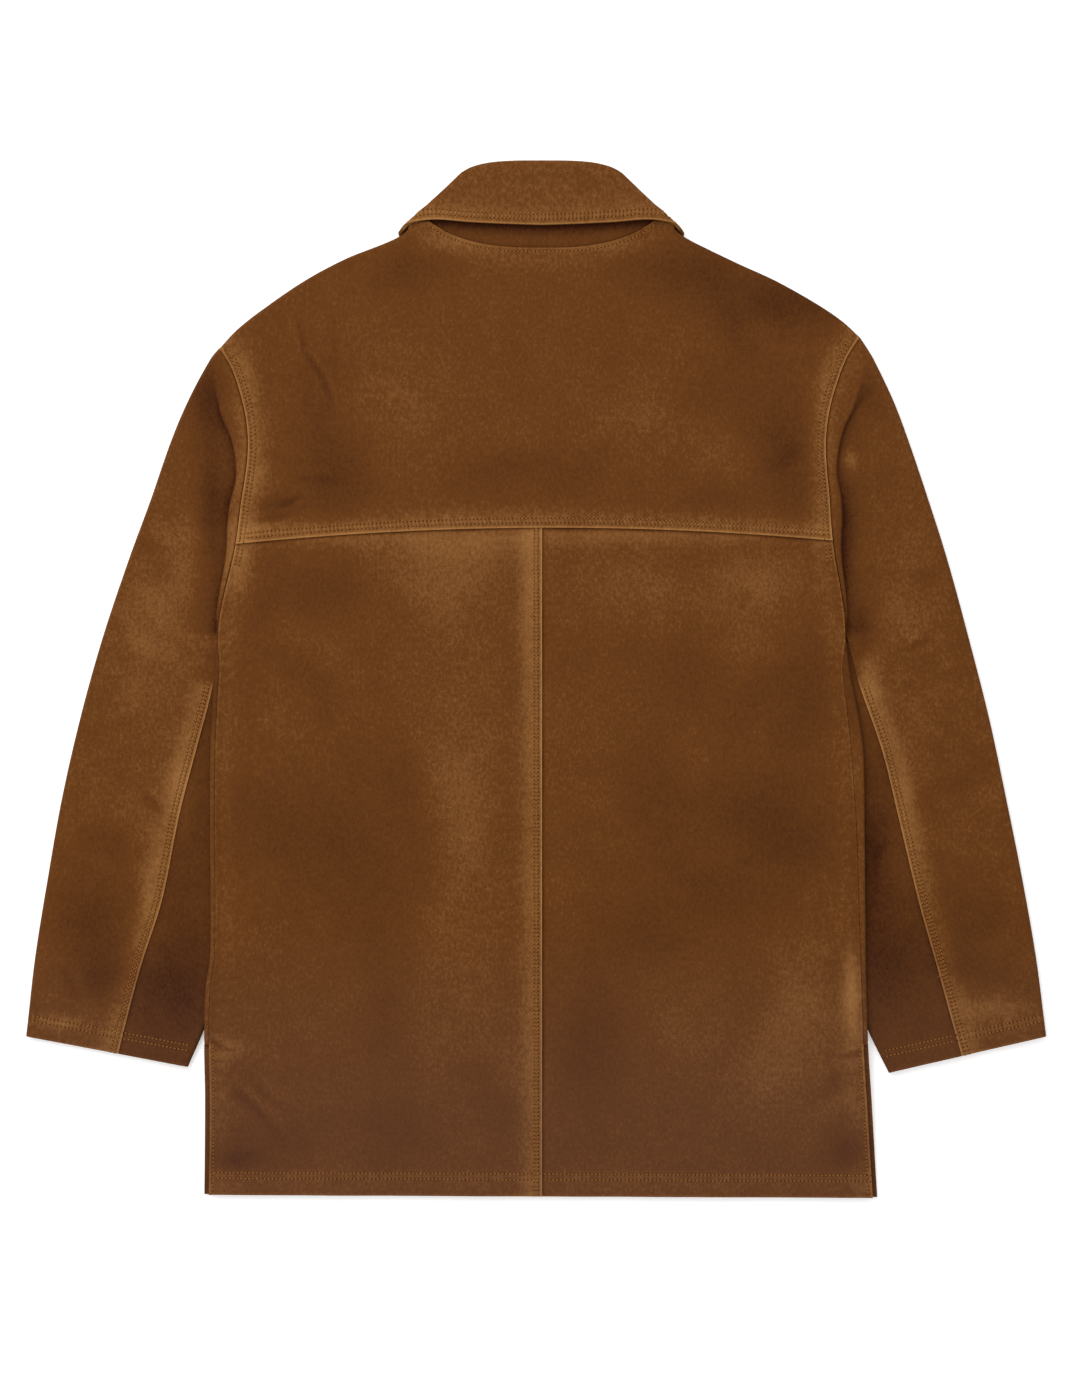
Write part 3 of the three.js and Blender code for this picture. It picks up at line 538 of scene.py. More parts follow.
def along_line(xy, line):
    """Distance of each point from a line of straight stretches, and how far along it is nearest."""
    starts = line[:-1]
    steps = np.diff(line, axis=0)
    lengths = np.linalg.norm(steps, axis=1)
    runs = np.concatenate([[0], np.cumsum(lengths)[:-1]])
    flat = xy.reshape(-1, 2)
    best = np.full(len(flat), np.inf)
    way = np.zeros(len(flat))
    for start, step, length, run in zip(starts, steps, lengths, runs):
        share = np.clip((flat - start) @ step / length**2, 0, 1)
        away = np.hypot(*(flat - start - share[:, None] * step).T)
        nearer = away < best
        best[nearer] = away[nearer]
        way[nearer] = run + share[nearer] * length
    return best.reshape(xy.shape[:-1]), way.reshape(xy.shape[:-1])


# Look of the cloth beside a sewn edge, in millimetres and in tone
TURN_SLOPE = 5
TURN_MARGIN = 3
EDGE_MIDDLE = 2
GROOVE_HALF = 0.6
GROOVE_DEPTH = 0.38
GROOVE_SHADING = 0.08
CREST_PLACE = 0.7
CREST_HALF = 0.8
CREST_HEIGHT = 0.25
WAVE_RUN = 1.45
WAVE_BEND = 1.9
WAVE_BEND_RUN = 11.3
WAVE_SWELL_RUN = 23.0
WAVE_HEIGHT = 0.13
WAVE_SHADING = 0.035
PUCKER_PLACE = 3
PUCKER_HALF = 6
ROWS_MARGIN = 1.4
ROWS_TONE = 0.06
BAND_PLACE = 9

# Each seam's own look: the width turned in, its lift, how light its ridge and the band beside it are,
# and how strongly the ladder of puckers shows
SEAM_LOOK = {
    "yoke": (9, 0.8, 0.34, 0.08, 0.8),
    "armhole left": (8, 0.5, 0.44, 0.12, 0.5),
    "armhole right": (8, 0.5, 0.44, 0.12, 0.6),
    "neck": (5, 0.35, 0.1, 0.06, 0.3),
    "armhole on back": (8, 0.5, 0.1, 0.06, 0.5),
    "armhole edge": (3, 0.2, 0.22, 0.05, 0),
    "hem": (20, 0.6, 0.14, 0.05, 0.35),
    "side": (3, 0.3, 0.1, 0.05, 0),
    "vent": (4, 0.2, 0.22, 0.03, 0.4),
    "centre": (8, 0.8, 0.48, 0.16, 0.8),
    "hem below": (20, 0, 0.2, 0.04, 0.5),
    "lap": (8, 0, 0.2, 0.04, 0.6),
    "cuff": (19, 0.4, 0.14, 0.02, 0.5),
    "sleeve": (8, 0.6, 0.42, 0.15, 1),
    "leaf": (9.5, 0.7, 0.32, 0.06, 1),
}


def seam_look(xy, line, rows, turned, lift, ridge, band):
    """Height and tone that a sewn edge gives the cloth beside it: doubled cloth over the turned
    width, a narrow rubbed ridge at the very edge, a groove at each row of stitches with painted
    shade in it, puckers between them of uneven length with painted light and shade that follow
    their height, and a broad lighter band beside them. With them, the way along the edge, and 1
    over the rows and 0 elsewhere."""
    away, way = along_line(xy, line)
    doubled = smooth((turned + TURN_MARGIN - away) / TURN_SLOPE)
    grooves = sum((bell(away - row, GROOVE_HALF) for row in rows), 0 * away)
    middle = np.mean(rows) if rows else EDGE_MIDDLE
    swell = 0.6 + 0.4 * np.sin(way / WAVE_SWELL_RUN)
    wave = np.sin(way / WAVE_RUN + WAVE_BEND * np.sin(way / WAVE_BEND_RUN)) * swell
    pucker = wave * bell(away - middle - PUCKER_PLACE, PUCKER_HALF)
    crest = bell(away - CREST_PLACE, CREST_HALF)
    height = lift * doubled - GROOVE_DEPTH * grooves + WAVE_HEIGHT * pucker + CREST_HEIGHT * crest
    beside_rows = 0 * away
    if rows:
        beside_rows = np.exp(-(((away - middle) / (np.ptp(rows) / 2 + ROWS_MARGIN)) ** 4))
    # Painted shade in the grooves, and painted light and shade on the puckers that follows their height.
    tone = ridge * crest + ROWS_TONE * beside_rows - GROOVE_SHADING * grooves + WAVE_SHADING * pucker
    tone += band * bell(away - BAND_PLACE, BAND_PLACE)
    return height, tone, way, beside_rows


def sewing_look(xy, seams):
    """Height and tone of several seams together, and the run and strength of the strongest ladder.
    Each seam starts with where it shows on the piece and ends with its ladder's strength."""
    height, tone, run, strength = (np.zeros(xy.shape[:-1]) for _ in range(4))
    for shown, *seam, ladder in seams:
        raised, lighter, way, beside_rows = seam_look(xy, *seam)
        height += raised * shown
        tone += lighter * shown
        ladders = beside_rows * shown * ladder
        run = np.where(ladders > strength, way, run)
        strength = np.maximum(strength, ladders)
    return height, tone, run, strength


# Creases and soft folds, as troughs with a low ridge beside them. The first of
# the two ends is where it is deepest.
CREASES = table("x0 y0 x1 y1 bow width depth", [
    (-190, 268, -165, 212, 5, 2.4, 1.3),
    (-190, 268, -202, 306, -2, 2.6, 0.8),
    (-167, 300, -164, 235, 1, 3, 0.35),
    (-193, 150, -215, 141, 1, 2.6, 0.8),
    (-206, 133, -238, 130, 1, 2.6, 0.7),
    (-200, 164, -146, 156, 3, 4, 0.5),
    (-225, 190, -190, 176, -3, 5, 0.35),
    (-60, 168, 40, 176, 4, 14, 0.35),
    (176, 75, 166, 56, 1, 3.5, 0.4),
    (150, 300, 205, 250, -6, 13, 0.5),
    (215, 190, 178, 165, 3, 6, 0.45),
    (120, 150, 200, 140, 2, 12, 0.35),
    (-267, -296, -243, -305, -2, 2.6, 1.5),
    (-249, -336, -205, -384, 3, 4, 1.0),
    (-232, -330, -200, -356, -3, 4, 0.7),
    (268, -306, 247, -309, 1, 2.6, 1.2),
    (250, -325, 215, -350, 4, 8, 0.45),
    (-120, -60, -90, -200, 9, 22, 0.45),
    (90, -40, 140, -190, -12, 24, 0.45),
    (-215, 20, -150, -40, 8, 15, 0.45),
    (200, 10, 150, -70, -7, 14, 0.4),
    (-60, -310, -20, -400, 6, 18, 0.4),
    (180, -230, 120, -360, 10, 22, 0.4),
])


# Painted shade in each crease's trough and painted light on the low ridge beside it: the tone follows the
# creases' height.
CREASE_SHADING = 0.15
RIDGE_PLACE = 1.7
RIDGE_SHARE = 0.55
WAVES = 7
WAVES_PEAK = 2.6


def crease_relief(xy, rows):
    """Sum over the creases of a trough exp(-t^2) and a lower ridge beside it, with t the distance
    from the crease's bowed line over its width, fading from the first end to the second."""
    height = np.zeros(xy.shape[:-1])
    for x0, y0, x1, y1, bow, width, depth in zip(*rows.values()):
        start = np.array([x0, y0])
        step = np.array([x1 - x0, y1 - y0])
        length = np.hypot(*step)
        across = np.array([-step[1], step[0]]) / length
        share = (xy - start) @ step / length**2
        t = ((xy - start) @ across - bow * 4 * share * (1 - share)) / width
        fade = smooth((share + 0.12) / 0.3) * smooth((1.1 - share) / 0.75)
        height += depth * fade * (RIDGE_SHARE * bell(t - RIDGE_PLACE, 1) - bell(t, 1))
    return height


def drape(xy, seed, depth=0.35, longest=150, shortest=55):
    """Soft unevenness of laid cloth: plane waves of falling length and seeded direction and phase."""
    source = np.random.default_rng(seed)
    height = np.zeros(xy.shape[:-1])
    for length in np.geomspace(longest, shortest, WAVES):
        angle, phase = source.uniform(0, 2 * np.pi, 2)
        way = xy @ np.array([np.cos(angle), np.sin(angle)])
        height += np.sin(2 * np.pi * way / length + phase)
    return depth * height / WAVES_PEAK


# Soft patches of lighter and darker nap and of painted shade and light: middle, half sizes and tone
PATCH_STRENGTH = 1.3
NAP_AND_SHADE_PATCHES = table("x y wide tall tone", [
    (-112, 336, 41, 20, -0.10),
    (126, 336, 41, 25, -0.15),
    (200, 308, 55, 24, -0.19),
    (167, 213, 50, 50, -0.09),
    (208, 172, 20, 40, -0.14),
    (-112, 225, 65, 45, 0.03),
    (77, 213, 36, 30, 0.05),
    (150, 215, 33, 26, 0.05),
    (150, 188, 33, 20, 0.07),
    (-178, 221, 25, 50, -0.08),
    (-165, 164, 30, 32, -0.13),
    (-210, 143, 20, 9, -0.14),
    (3, 164, 50, 20, -0.05),
    (-239, 229, 11, 42, 0.05),
    (-235, 164, 13, 22, 0.06),
    (237, 205, 8, 55, 0.07),
    (-246, 98, 13, 34, 0.17),
    (-169, 118, 85, 9, 0.11),
    (-55, 113, 60, 15, 0.08),
    (93, 118, 120, 8, 0.12),
    (-79, 90, 60, 35, 0.10),
    (-169, 73, 50, 25, -0.09),
    (-235, 24, 20, 40, -0.05),
    (-7, 60, 9, 75, 0.06),
    (-62, -60, 40, 90, 0.06),
    (-60, -215, 40, 110, 0.06),
    (-205, -123, 50, 40, -0.09),
    (-140, -160, 40, 60, -0.08),
    (-122, -275, 18, 60, -0.06),
    (-219, -378, 33, 20, -0.09),
    (-112, -369, 40, 20, -0.06),
    (85, 73, 50, 33, 0.06),
    (179, 78, 40, 26, 0.10),
    (175, 32, 30, 25, 0.06),
    (134, -9, 33, 50, -0.07),
    (216, -17, 33, 50, -0.10),
    (165, -105, 60, 32, -0.12),
    (210, -134, 42, 28, -0.11),
    (150, -176, 50, 28, -0.10),
    (88, -212, 44, 28, -0.10),
    (44, -304, 28, 60, -0.11),
    (178, -308, 72, 50, 0.07),
    (225, -265, 30, 50, 0.05),
    (259, -258, 8, 35, 0.28),
    (255, -386, 16, 16, -0.16),
    (-247, -394, 20, 10, -0.20),
    (-251, -304, 16, 8, 0.12),
    (-270, 236, 15, 36, -0.2),
    (-266, 147, 11, 50, -0.19),
    (-296, 73, 25, 50, 0.08),
    (-325, 24, 25, 45, 0.07),
    (-292, -91, 10, 30, 0.12),
    (-317, -173, 12, 50, 0.10),
    (-368, -205, 26, 32, -0.14),
    (-358, -246, 25, 20, -0.16),
    (-391, -281, 20, 6, 0.14),
    (-352, -180, 45, 60, -0.06),
    (-296, -250, 32, 48, -0.17),
    (257, 180, 7, 10, 0.20),
    (254, 114, 8, 50, -0.15),
    (267, 41, 8, 20, -0.15),
    (302, 57, 16, 33, 0.07),
    (273, 0, 9, 20, 0.16),
    (302, -107, 9, 50, 0.09),
    (349, -192, 40, 40, -0.10),
    (347, -234, 28, 15, -0.08),
    (374, -271, 28, 10, 0.13),
    (276, -150, 13, 60, -0.19),
    (288, -235, 28, 45, -0.15),
    (-79, 377, 25, 8, 0.10),
    (-55, 359, 40, 7, 0.10),
    (52, 356, 40, 6, 0.08),
])


def patch_tone(xy):
    """Sum over the patches of their tone times exp of minus the squared distance in half sizes."""
    tone = np.zeros(xy.shape[:-1])
    for x, y, wide, tall, change in zip(*NAP_AND_SHADE_PATCHES.values()):
        away = ((xy[..., 0] - x) / wide) ** 2 + ((xy[..., 1] - y) / tall) ** 2
        tone += change * np.exp(-away)
    return PATCH_STRENGTH * tone


BODY_CLOUDY = 0.24
SHARP_DEGREES = 48


def cloth(name, middle, height, tone, cloudy=BODY_CLOUDY, run=0, ladder=0):
    """Closed wall of suede round a grid of middle-surface points in millimetres: the outer face is
    half a wall out along the normals plus the height given, the inner face half a wall in, and
    strips close the four edges. The values for the suede are kept as attributes of the points."""
    tall, wide = middle.shape[:2]
    normal = unit(np.cross(np.gradient(middle, axis=1), np.gradient(middle, axis=0)))
    outer = middle + normal * (WALL / 2 + height)[..., None]
    inner = middle - normal * WALL / 2
    points = np.concatenate([outer.reshape(-1, 3), inner.reshape(-1, 3)]) * MM
    ids = np.arange(tall * wide).reshape(tall, wide)
    back = ids + tall * wide
    cells = [ids[:-1, :-1], ids[:-1, 1:], ids[1:, 1:], ids[1:, :-1]]
    under = [back[:-1, :-1], back[1:, :-1], back[1:, 1:], back[:-1, 1:]]
    rims = [
        [back[0, :-1], back[0, 1:], ids[0, 1:], ids[0, :-1]],
        [ids[-1, :-1], ids[-1, 1:], back[-1, 1:], back[-1, :-1]],
        [ids[:-1, 0], ids[1:, 0], back[1:, 0], back[:-1, 0]],
        [back[:-1, -1], back[1:, -1], ids[1:, -1], ids[:-1, -1]],
    ]
    quads = np.concatenate([np.stack(q, axis=-1).reshape(-1, 4) for q in (cells, under, *rims)])
    mesh = bpy.data.meshes.new(name)
    mesh.vertices.add(len(points))
    mesh.vertices.foreach_set("co", points.ravel())
    mesh.loops.add(quads.size)
    mesh.loops.foreach_set("vertex_index", quads.ravel().astype(np.int32))
    mesh.polygons.add(len(quads))
    mesh.polygons.foreach_set("loop_start", np.arange(0, quads.size, 4, dtype=np.int32))
    mesh.polygons.foreach_set("use_smooth", np.ones(len(quads), dtype=bool))
    mesh.update(calc_edges=True)
    mesh.validate()
    mesh.set_sharp_from_angle(angle=math.radians(SHARP_DEGREES))
    for attribute, values in (("tone", tone), ("cloudy", cloudy), ("run", run), ("ladder", ladder)):
        spots = np.broadcast_to(values, (tall, wide)).ravel()
        spots = np.concatenate([spots, spots]).astype(np.float32)
        mesh.attributes.new(attribute, "FLOAT", "POINT").data.foreach_set("value", spots)
    mesh.materials.append(suede)
    piece = bpy.data.objects.new(name, mesh)
    bpy.context.scene.collection.objects.link(piece)
    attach(piece, "root")
    return piece


SEAM_LINE = yoke_seam(np.linspace(0, 1, 60))
ARMHOLE_LINES = {sign: armhole_point(sign, np.linspace(-0.02, 1, 52), "back") for sign in (-1, 1)}
NECK_LINE = np.concatenate([
    collar_station(-1, np.linspace(5, 0, 30))[0][:, :2],
    collar_station(1, np.linspace(0.2, 5, 30))[0][:, :2],
])
YOKE_ROWS = (3.9, 7.7)
ARMHOLE_ROWS = (3.3, 6.6)
NECK_ROWS = (3.4,)
ROUND_STEPS = 10
UNDER_STEPS = 4
TURN_PARTS = np.linspace(0, 1, ROUND_STEPS + UNDER_STEPS + 1)[1:, None]
OPEN_SHARE_END = 0.17
OPEN_SHARE_RUN = 0.11
NECK_HALF = 120
NECK_HALF_RUN = 15
NECK_LOW_Y = 340
NECK_LOW_RUN = 5
TIP_GAP_SHARE = 0.05
FACING_FALL = 3
BODY_TONE = 0.47


def yoke_columns(sign):
    """Start of the fold, and the fold's own rows, for one half of the yoke from the sleeve to the
    centre back: round the shoulder and under it, or flat on to the neck seam. Beside the neck the
    shoulder's fold opens out flat to meet the neck's rows."""
    shares = 1 - spread((0, 0.05, 0.0045), (0.05, 0.95, 0.016))
    edge, out = shoulder_point(sign, shares)
    start = fold_start(edge, out)
    top = yoke_level(*start.T)
    low = front_level(*start.T)
    radius = (top - low) / 2
    angles = np.linspace(0, np.pi, ROUND_STEPS + 1)[1:, None]
    back_under = np.linspace(0, -SHOULDER_RUN, UNDER_STEPS + 1)[1:, None] + 0 * radius
    reach = np.concatenate([radius * np.sin(angles), back_under])
    height = np.concatenate([low + radius * (1 + np.cos(angles)), low + 0 * back_under])
    opened = smooth((OPEN_SHARE_END - shares) / OPEN_SHARE_RUN)
    reach = mix(reach, NECK_TURN * TURN_PARTS, opened)
    height = mix(height, top + 0 * TURN_PARTS, opened)
    shoulder = at_height(start + out * reach[..., None], height)

    stations = spread((5, 0, 0.14))[:-1]
    neck, _, _, up, _, _ = collar_station(sign, stations)
    ahead = unit(up[:, :2])
    edge = neck[:, :2] - ahead * SEAM_GAP / 2
    neck_start = edge - ahead * NECK_TURN
    turned = mix(neck_start, edge, TURN_PARTS[:, None])
    collared = at_height(turned, yoke_level(turned[..., 0], turned[..., 1]))
    return np.concatenate([start, neck_start]), np.concatenate([shoulder, collared], axis=1)


def make_yoke():
    """A Coons patch between the yoke seam, the two armholes and the neck, at the yoke's level, and
    then the rows of the folds."""
    left_top, left_folds = yoke_columns(-1)
    right_top, right_folds = yoke_columns(1)
    centre, _, _, up, _, _ = collar_station(1, 0.0)
    middle_start = centre[:, :2] - up[:, :2] * (NECK_TURN + SEAM_GAP / 2)
    middle = mix(middle_start, centre[:, :2] - up[:, :2] * SEAM_GAP / 2, TURN_PARTS)
    middle = at_height(middle, yoke_level(*middle.T))[:, None]
    top = np.concatenate([left_top, middle_start, right_top[::-1]])
    folds = np.concatenate([left_folds, middle, right_folds[:, ::-1]], axis=1)
    us = (top[:, 0] - top[0, 0]) / (top[-1, 0] - top[0, 0])
    vs = spread((0, 0.045, 0.0024), (0.045, 1, 0.0105))
    shares = YOKE_SEAM_SHARE * (1 - vs)
    sides = {}
    for sign in (-1, 1):
        sides[sign] = armhole_point(sign, shares, "back")
        sides[sign][:, 0] -= sign * SEAM_GAP * smooth(shares / TIP_GAP_SHARE)
    bottom = yoke_seam(us) + (0, SEAM_GAP / 2)
    flat = patch(us, vs, bottom, top, sides[-1], sides[1])
    grid = np.concatenate([at_height(flat, yoke_level(flat[..., 0], flat[..., 1])), folds])
    xy = grid[..., :2]
    facing = np.ones(grid.shape[:2])
    facing[len(vs):] = np.clip(1 - np.linspace(0, FACING_FALL, len(folds)), 0, 1)[:, None]
    neck_part = smooth((NECK_HALF - np.abs(xy[..., 0] - NECK_X)) / NECK_HALF_RUN)
    facing = np.maximum(facing, neck_part * smooth((xy[..., 1] - NECK_LOW_Y) / NECK_LOW_RUN))
    creases = crease_relief(xy, CREASES)
    height = (creases + drape(xy, 3)) * facing
    tone = BODY_TONE + patch_tone(xy) + CREASE_SHADING * creases
    raised, lighter, run, ladder = sewing_look(xy, [
        (facing, SEAM_LINE, YOKE_ROWS, *SEAM_LOOK["yoke"]),
        (facing, ARMHOLE_LINES[-1], ARMHOLE_ROWS, *SEAM_LOOK["armhole left"]),
        (facing, ARMHOLE_LINES[1], ARMHOLE_ROWS, *SEAM_LOOK["armhole right"]),
        (facing, NECK_LINE, NECK_ROWS, *SEAM_LOOK["neck"]),
    ])
    return cloth("yoke_suede", grid, height + raised, tone + lighter,
                 run=run, ladder=ladder)


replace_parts(make_yoke(), "back_yoke")

# Back panels. Two pieces joined down the middle, where the left one is turned in and lapped over the
# right one. They hang from the yoke seam to a turned-up hem, and are open at a short vent each side.
CENTRE_SEAM_X = 4.8
VENT_TOP_Y = -299
CENTRE_ROWS = (3.5, 6.5)
HEM_ROWS = (13.6, 18.4)
VENT_ROWS = (3.2,)
HEM_Y = -424
HEM_SLOPE = -0.0045
HEM_CORNER_X = 270
COVER_RUN = 32
BELOW_HEM_Y = -440.0
PAST_HEM_X = 300.0
ARMHOLE_SEWN_Y = 85
ARMHOLE_SEWN_RUN = 30
BACK_DRAPE = 0.45
LAP_SHADOW = 0.2
YOKE_SHADOW_WIDTH = 1.5
CENTRE_SHADOW_WIDTH = 1.6


def hem_y(x):
    """Hem edge, sloping down a little to the right."""
    return HEM_Y + HEM_SLOPE * x


def armpit_cover(y):
    """1 at the armpit, where the back covers the front's fold, falling to 0 over COVER_RUN below it."""
    return smooth((y - ARMPIT_Y + COVER_RUN) / COVER_RUN)


def back_side(sign, y):
    """Side edge of a back panel: the armhole above the armpit, and below it the side seam, a few
    millimetres inside the body's edge."""
    tip = shoulder_tip(sign)
    share = np.clip((tip[1] - y) / (tip[1] - ARMPIT_Y), YOKE_SEAM_SHARE, 1)
    armhole = armhole_point(sign, share, "back")[:, 0] - sign * SEAM_GAP
    inside = read(BODY_EDGE, "y", SIDE_NAME[sign] + "_seam", y) + SEAM_GAP / 2
    seam = sign * (body_edge(sign, y) - mix(inside, SEAM_GAP, armpit_cover(y)))
    return plan(np.where(y >= ARMPIT_Y, armhole, seam), y)


def side_line(sign, top_y, count):
    """The side edge of a back panel from a height down to the hem."""
    return back_side(sign, np.linspace(top_y, hem_y(sign * HEM_CORNER_X), count))


def upright(x, top_y):
    """A line straight up from below the hem."""
    return plan(np.array([x] * 2), np.array([BELOW_HEM_Y, top_y]))


SIDE_LINES = {sign: side_line(sign, ARMPIT_Y, 80) for sign in (-1, 1)}
VENT_LINES = {sign: side_line(sign, VENT_TOP_Y, 40) for sign in (-1, 1)}
HEM_ENDS = np.array([-PAST_HEM_X, PAST_HEM_X])
HEM_LINE = plan(HEM_ENDS, hem_y(HEM_ENDS))
CENTRE_LINE = upright(CENTRE_SEAM_X, yoke_seam(0.51)[0, 1])


def make_back(name, sign):
    """A Coons patch between side, yoke seam, centre back and hem, at the back's level."""
    centre = CENTRE_SEAM_X + sign * SEAM_GAP / 2
    drop = np.array([0, -SEAM_GAP / 2])
    us = spread((0, 0.03, 0.004), (0.03, 0.95, 0.0108), (0.95, 1, 0.0028))
    vs = spread((0, 0.042, 0.0016), (0.042, 0.98, 0.0055), (0.98, 1, 0.002))
    low_y = hem_y(sign * HEM_CORNER_X)
    high = armhole_point(sign, YOKE_SEAM_SHARE, "back") + drop
    high[0] -= sign * SEAM_GAP
    outer = back_side(sign, mix(low_y, high[1], vs))
    seam_left, seam_right = yoke_seam(0.0)[0, 0], yoke_seam(1.0)[0, 0]
    top = yoke_seam((mix(high[0], centre, us) - seam_left) / (seam_right - seam_left)) + drop
    bottom_x = mix(outer[0, 0], centre, us)
    bottom = plan(bottom_x, hem_y(bottom_x))
    inner = plan(centre + 0 * vs, mix(bottom[-1, 1], top[-1, 1], vs))
    flat = patch(us, vs, bottom, top, outer, inner)
    if sign > 0:
        flat = flat[:, ::-1]
    grid = at_height(flat, back_level(flat[..., 0], flat[..., 1]))
    creases = crease_relief(flat, CREASES)
    height = creases + drape(flat, 5 + sign, BACK_DRAPE)
    tone = BODY_TONE + patch_tone(flat) + CREASE_SHADING * creases
    near_yoke = smooth((flat[..., 1] - ARMHOLE_SEWN_Y) / ARMHOLE_SEWN_RUN)
    seams = [
        (near_yoke, ARMHOLE_LINES[sign], ARMHOLE_ROWS, *SEAM_LOOK["armhole on back"]),
        (1, ARMHOLE_LINES[sign], (), *SEAM_LOOK["armhole edge"]),
        (1, HEM_LINE, HEM_ROWS, *SEAM_LOOK["hem"]),
        (1, SIDE_LINES[sign], (), *SEAM_LOOK["side"]),
        (1, VENT_LINES[sign], VENT_ROWS, *SEAM_LOOK["vent"]),
    ]
    if sign < 0:
        seams.append((1, CENTRE_LINE, CENTRE_ROWS, *SEAM_LOOK["centre"]))
    raised, lighter, run, ladder = sewing_look(flat, seams)
    height += raised
    tone += lighter
    tone -= LAP_SHADOW * bell(along_line(flat, SEAM_LINE)[0], YOKE_SHADOW_WIDTH)
    tone -= LAP_SHADOW * (sign > 0) * bell(flat[..., 0] - CENTRE_SEAM_X, CENTRE_SHADOW_WIDTH)
    return cloth(name, grid, height, tone, run=run, ladder=ladder)


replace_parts(make_back("back_suede_left", -1), "back_left")
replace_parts(make_back("back_suede_right", 1), "back_right")

# Fronts. Two plain pieces under the back, lapped down the centre front with the right one uppermost.
# Beside the back panels each folds up round the body's edge to the side seam, down to the vent.
FRONT_LAP = 16
LAP_RISE = 1.9
LAP_RAMP = 30
LAP_MARGIN = 10
FOLD_COLUMNS = 12
OPEN_SHARE = 0.055
TIP_SHARE = 0.06
VENT_SLIT = 0.0002
COVER_THICKNESS = 1.8
FRONT_TONE = 0.45
UNDER_INSET = 12
UNDER_BELOW_Z = 9
UNDER_DRAPE = 0.25
WRAPPED_Z = 3
WRAPPED_X = 240
WRAPPED_TONES = (0.05, -0.1)
WRAPPED_TURN_Y = -70
WRAPPED_TURN_RUN = 50


def front_height(sign, x, y):
    """Level of a front: the fronts' common level, and a soft rise where the right one laps."""
    in_from_lap = NECK_X + FRONT_LAP + LAP_MARGIN + LAP_RAMP - x
    return front_level(x, y) + (sign > 0) * LAP_RISE * smooth(in_from_lap / LAP_RAMP)


def front_top(sign, corner, lap_edge):
    """Upper edge of a front by share from the armhole to the lap: shoulder seam, then neckline."""
    edge, out = shoulder_point(sign, np.linspace(0.92, 0.08, 30))
    shoulder = fold_start(edge, out) - out * (SHOULDER_RUN + SEAM_GAP)
    neck, _, _, up, _, _ = collar_station(sign, np.linspace(7, 10, 24))
    neckline = neck[:, :2] - up[:, :2] * 2 * SEAM_GAP
    points = np.concatenate([corner[None], shoulder, neckline, [[lap_edge, neckline[-1, 1] - 1]]])
    return (points[:, 0] - corner[0]) / (lap_edge - corner[0]), points[:, 1]


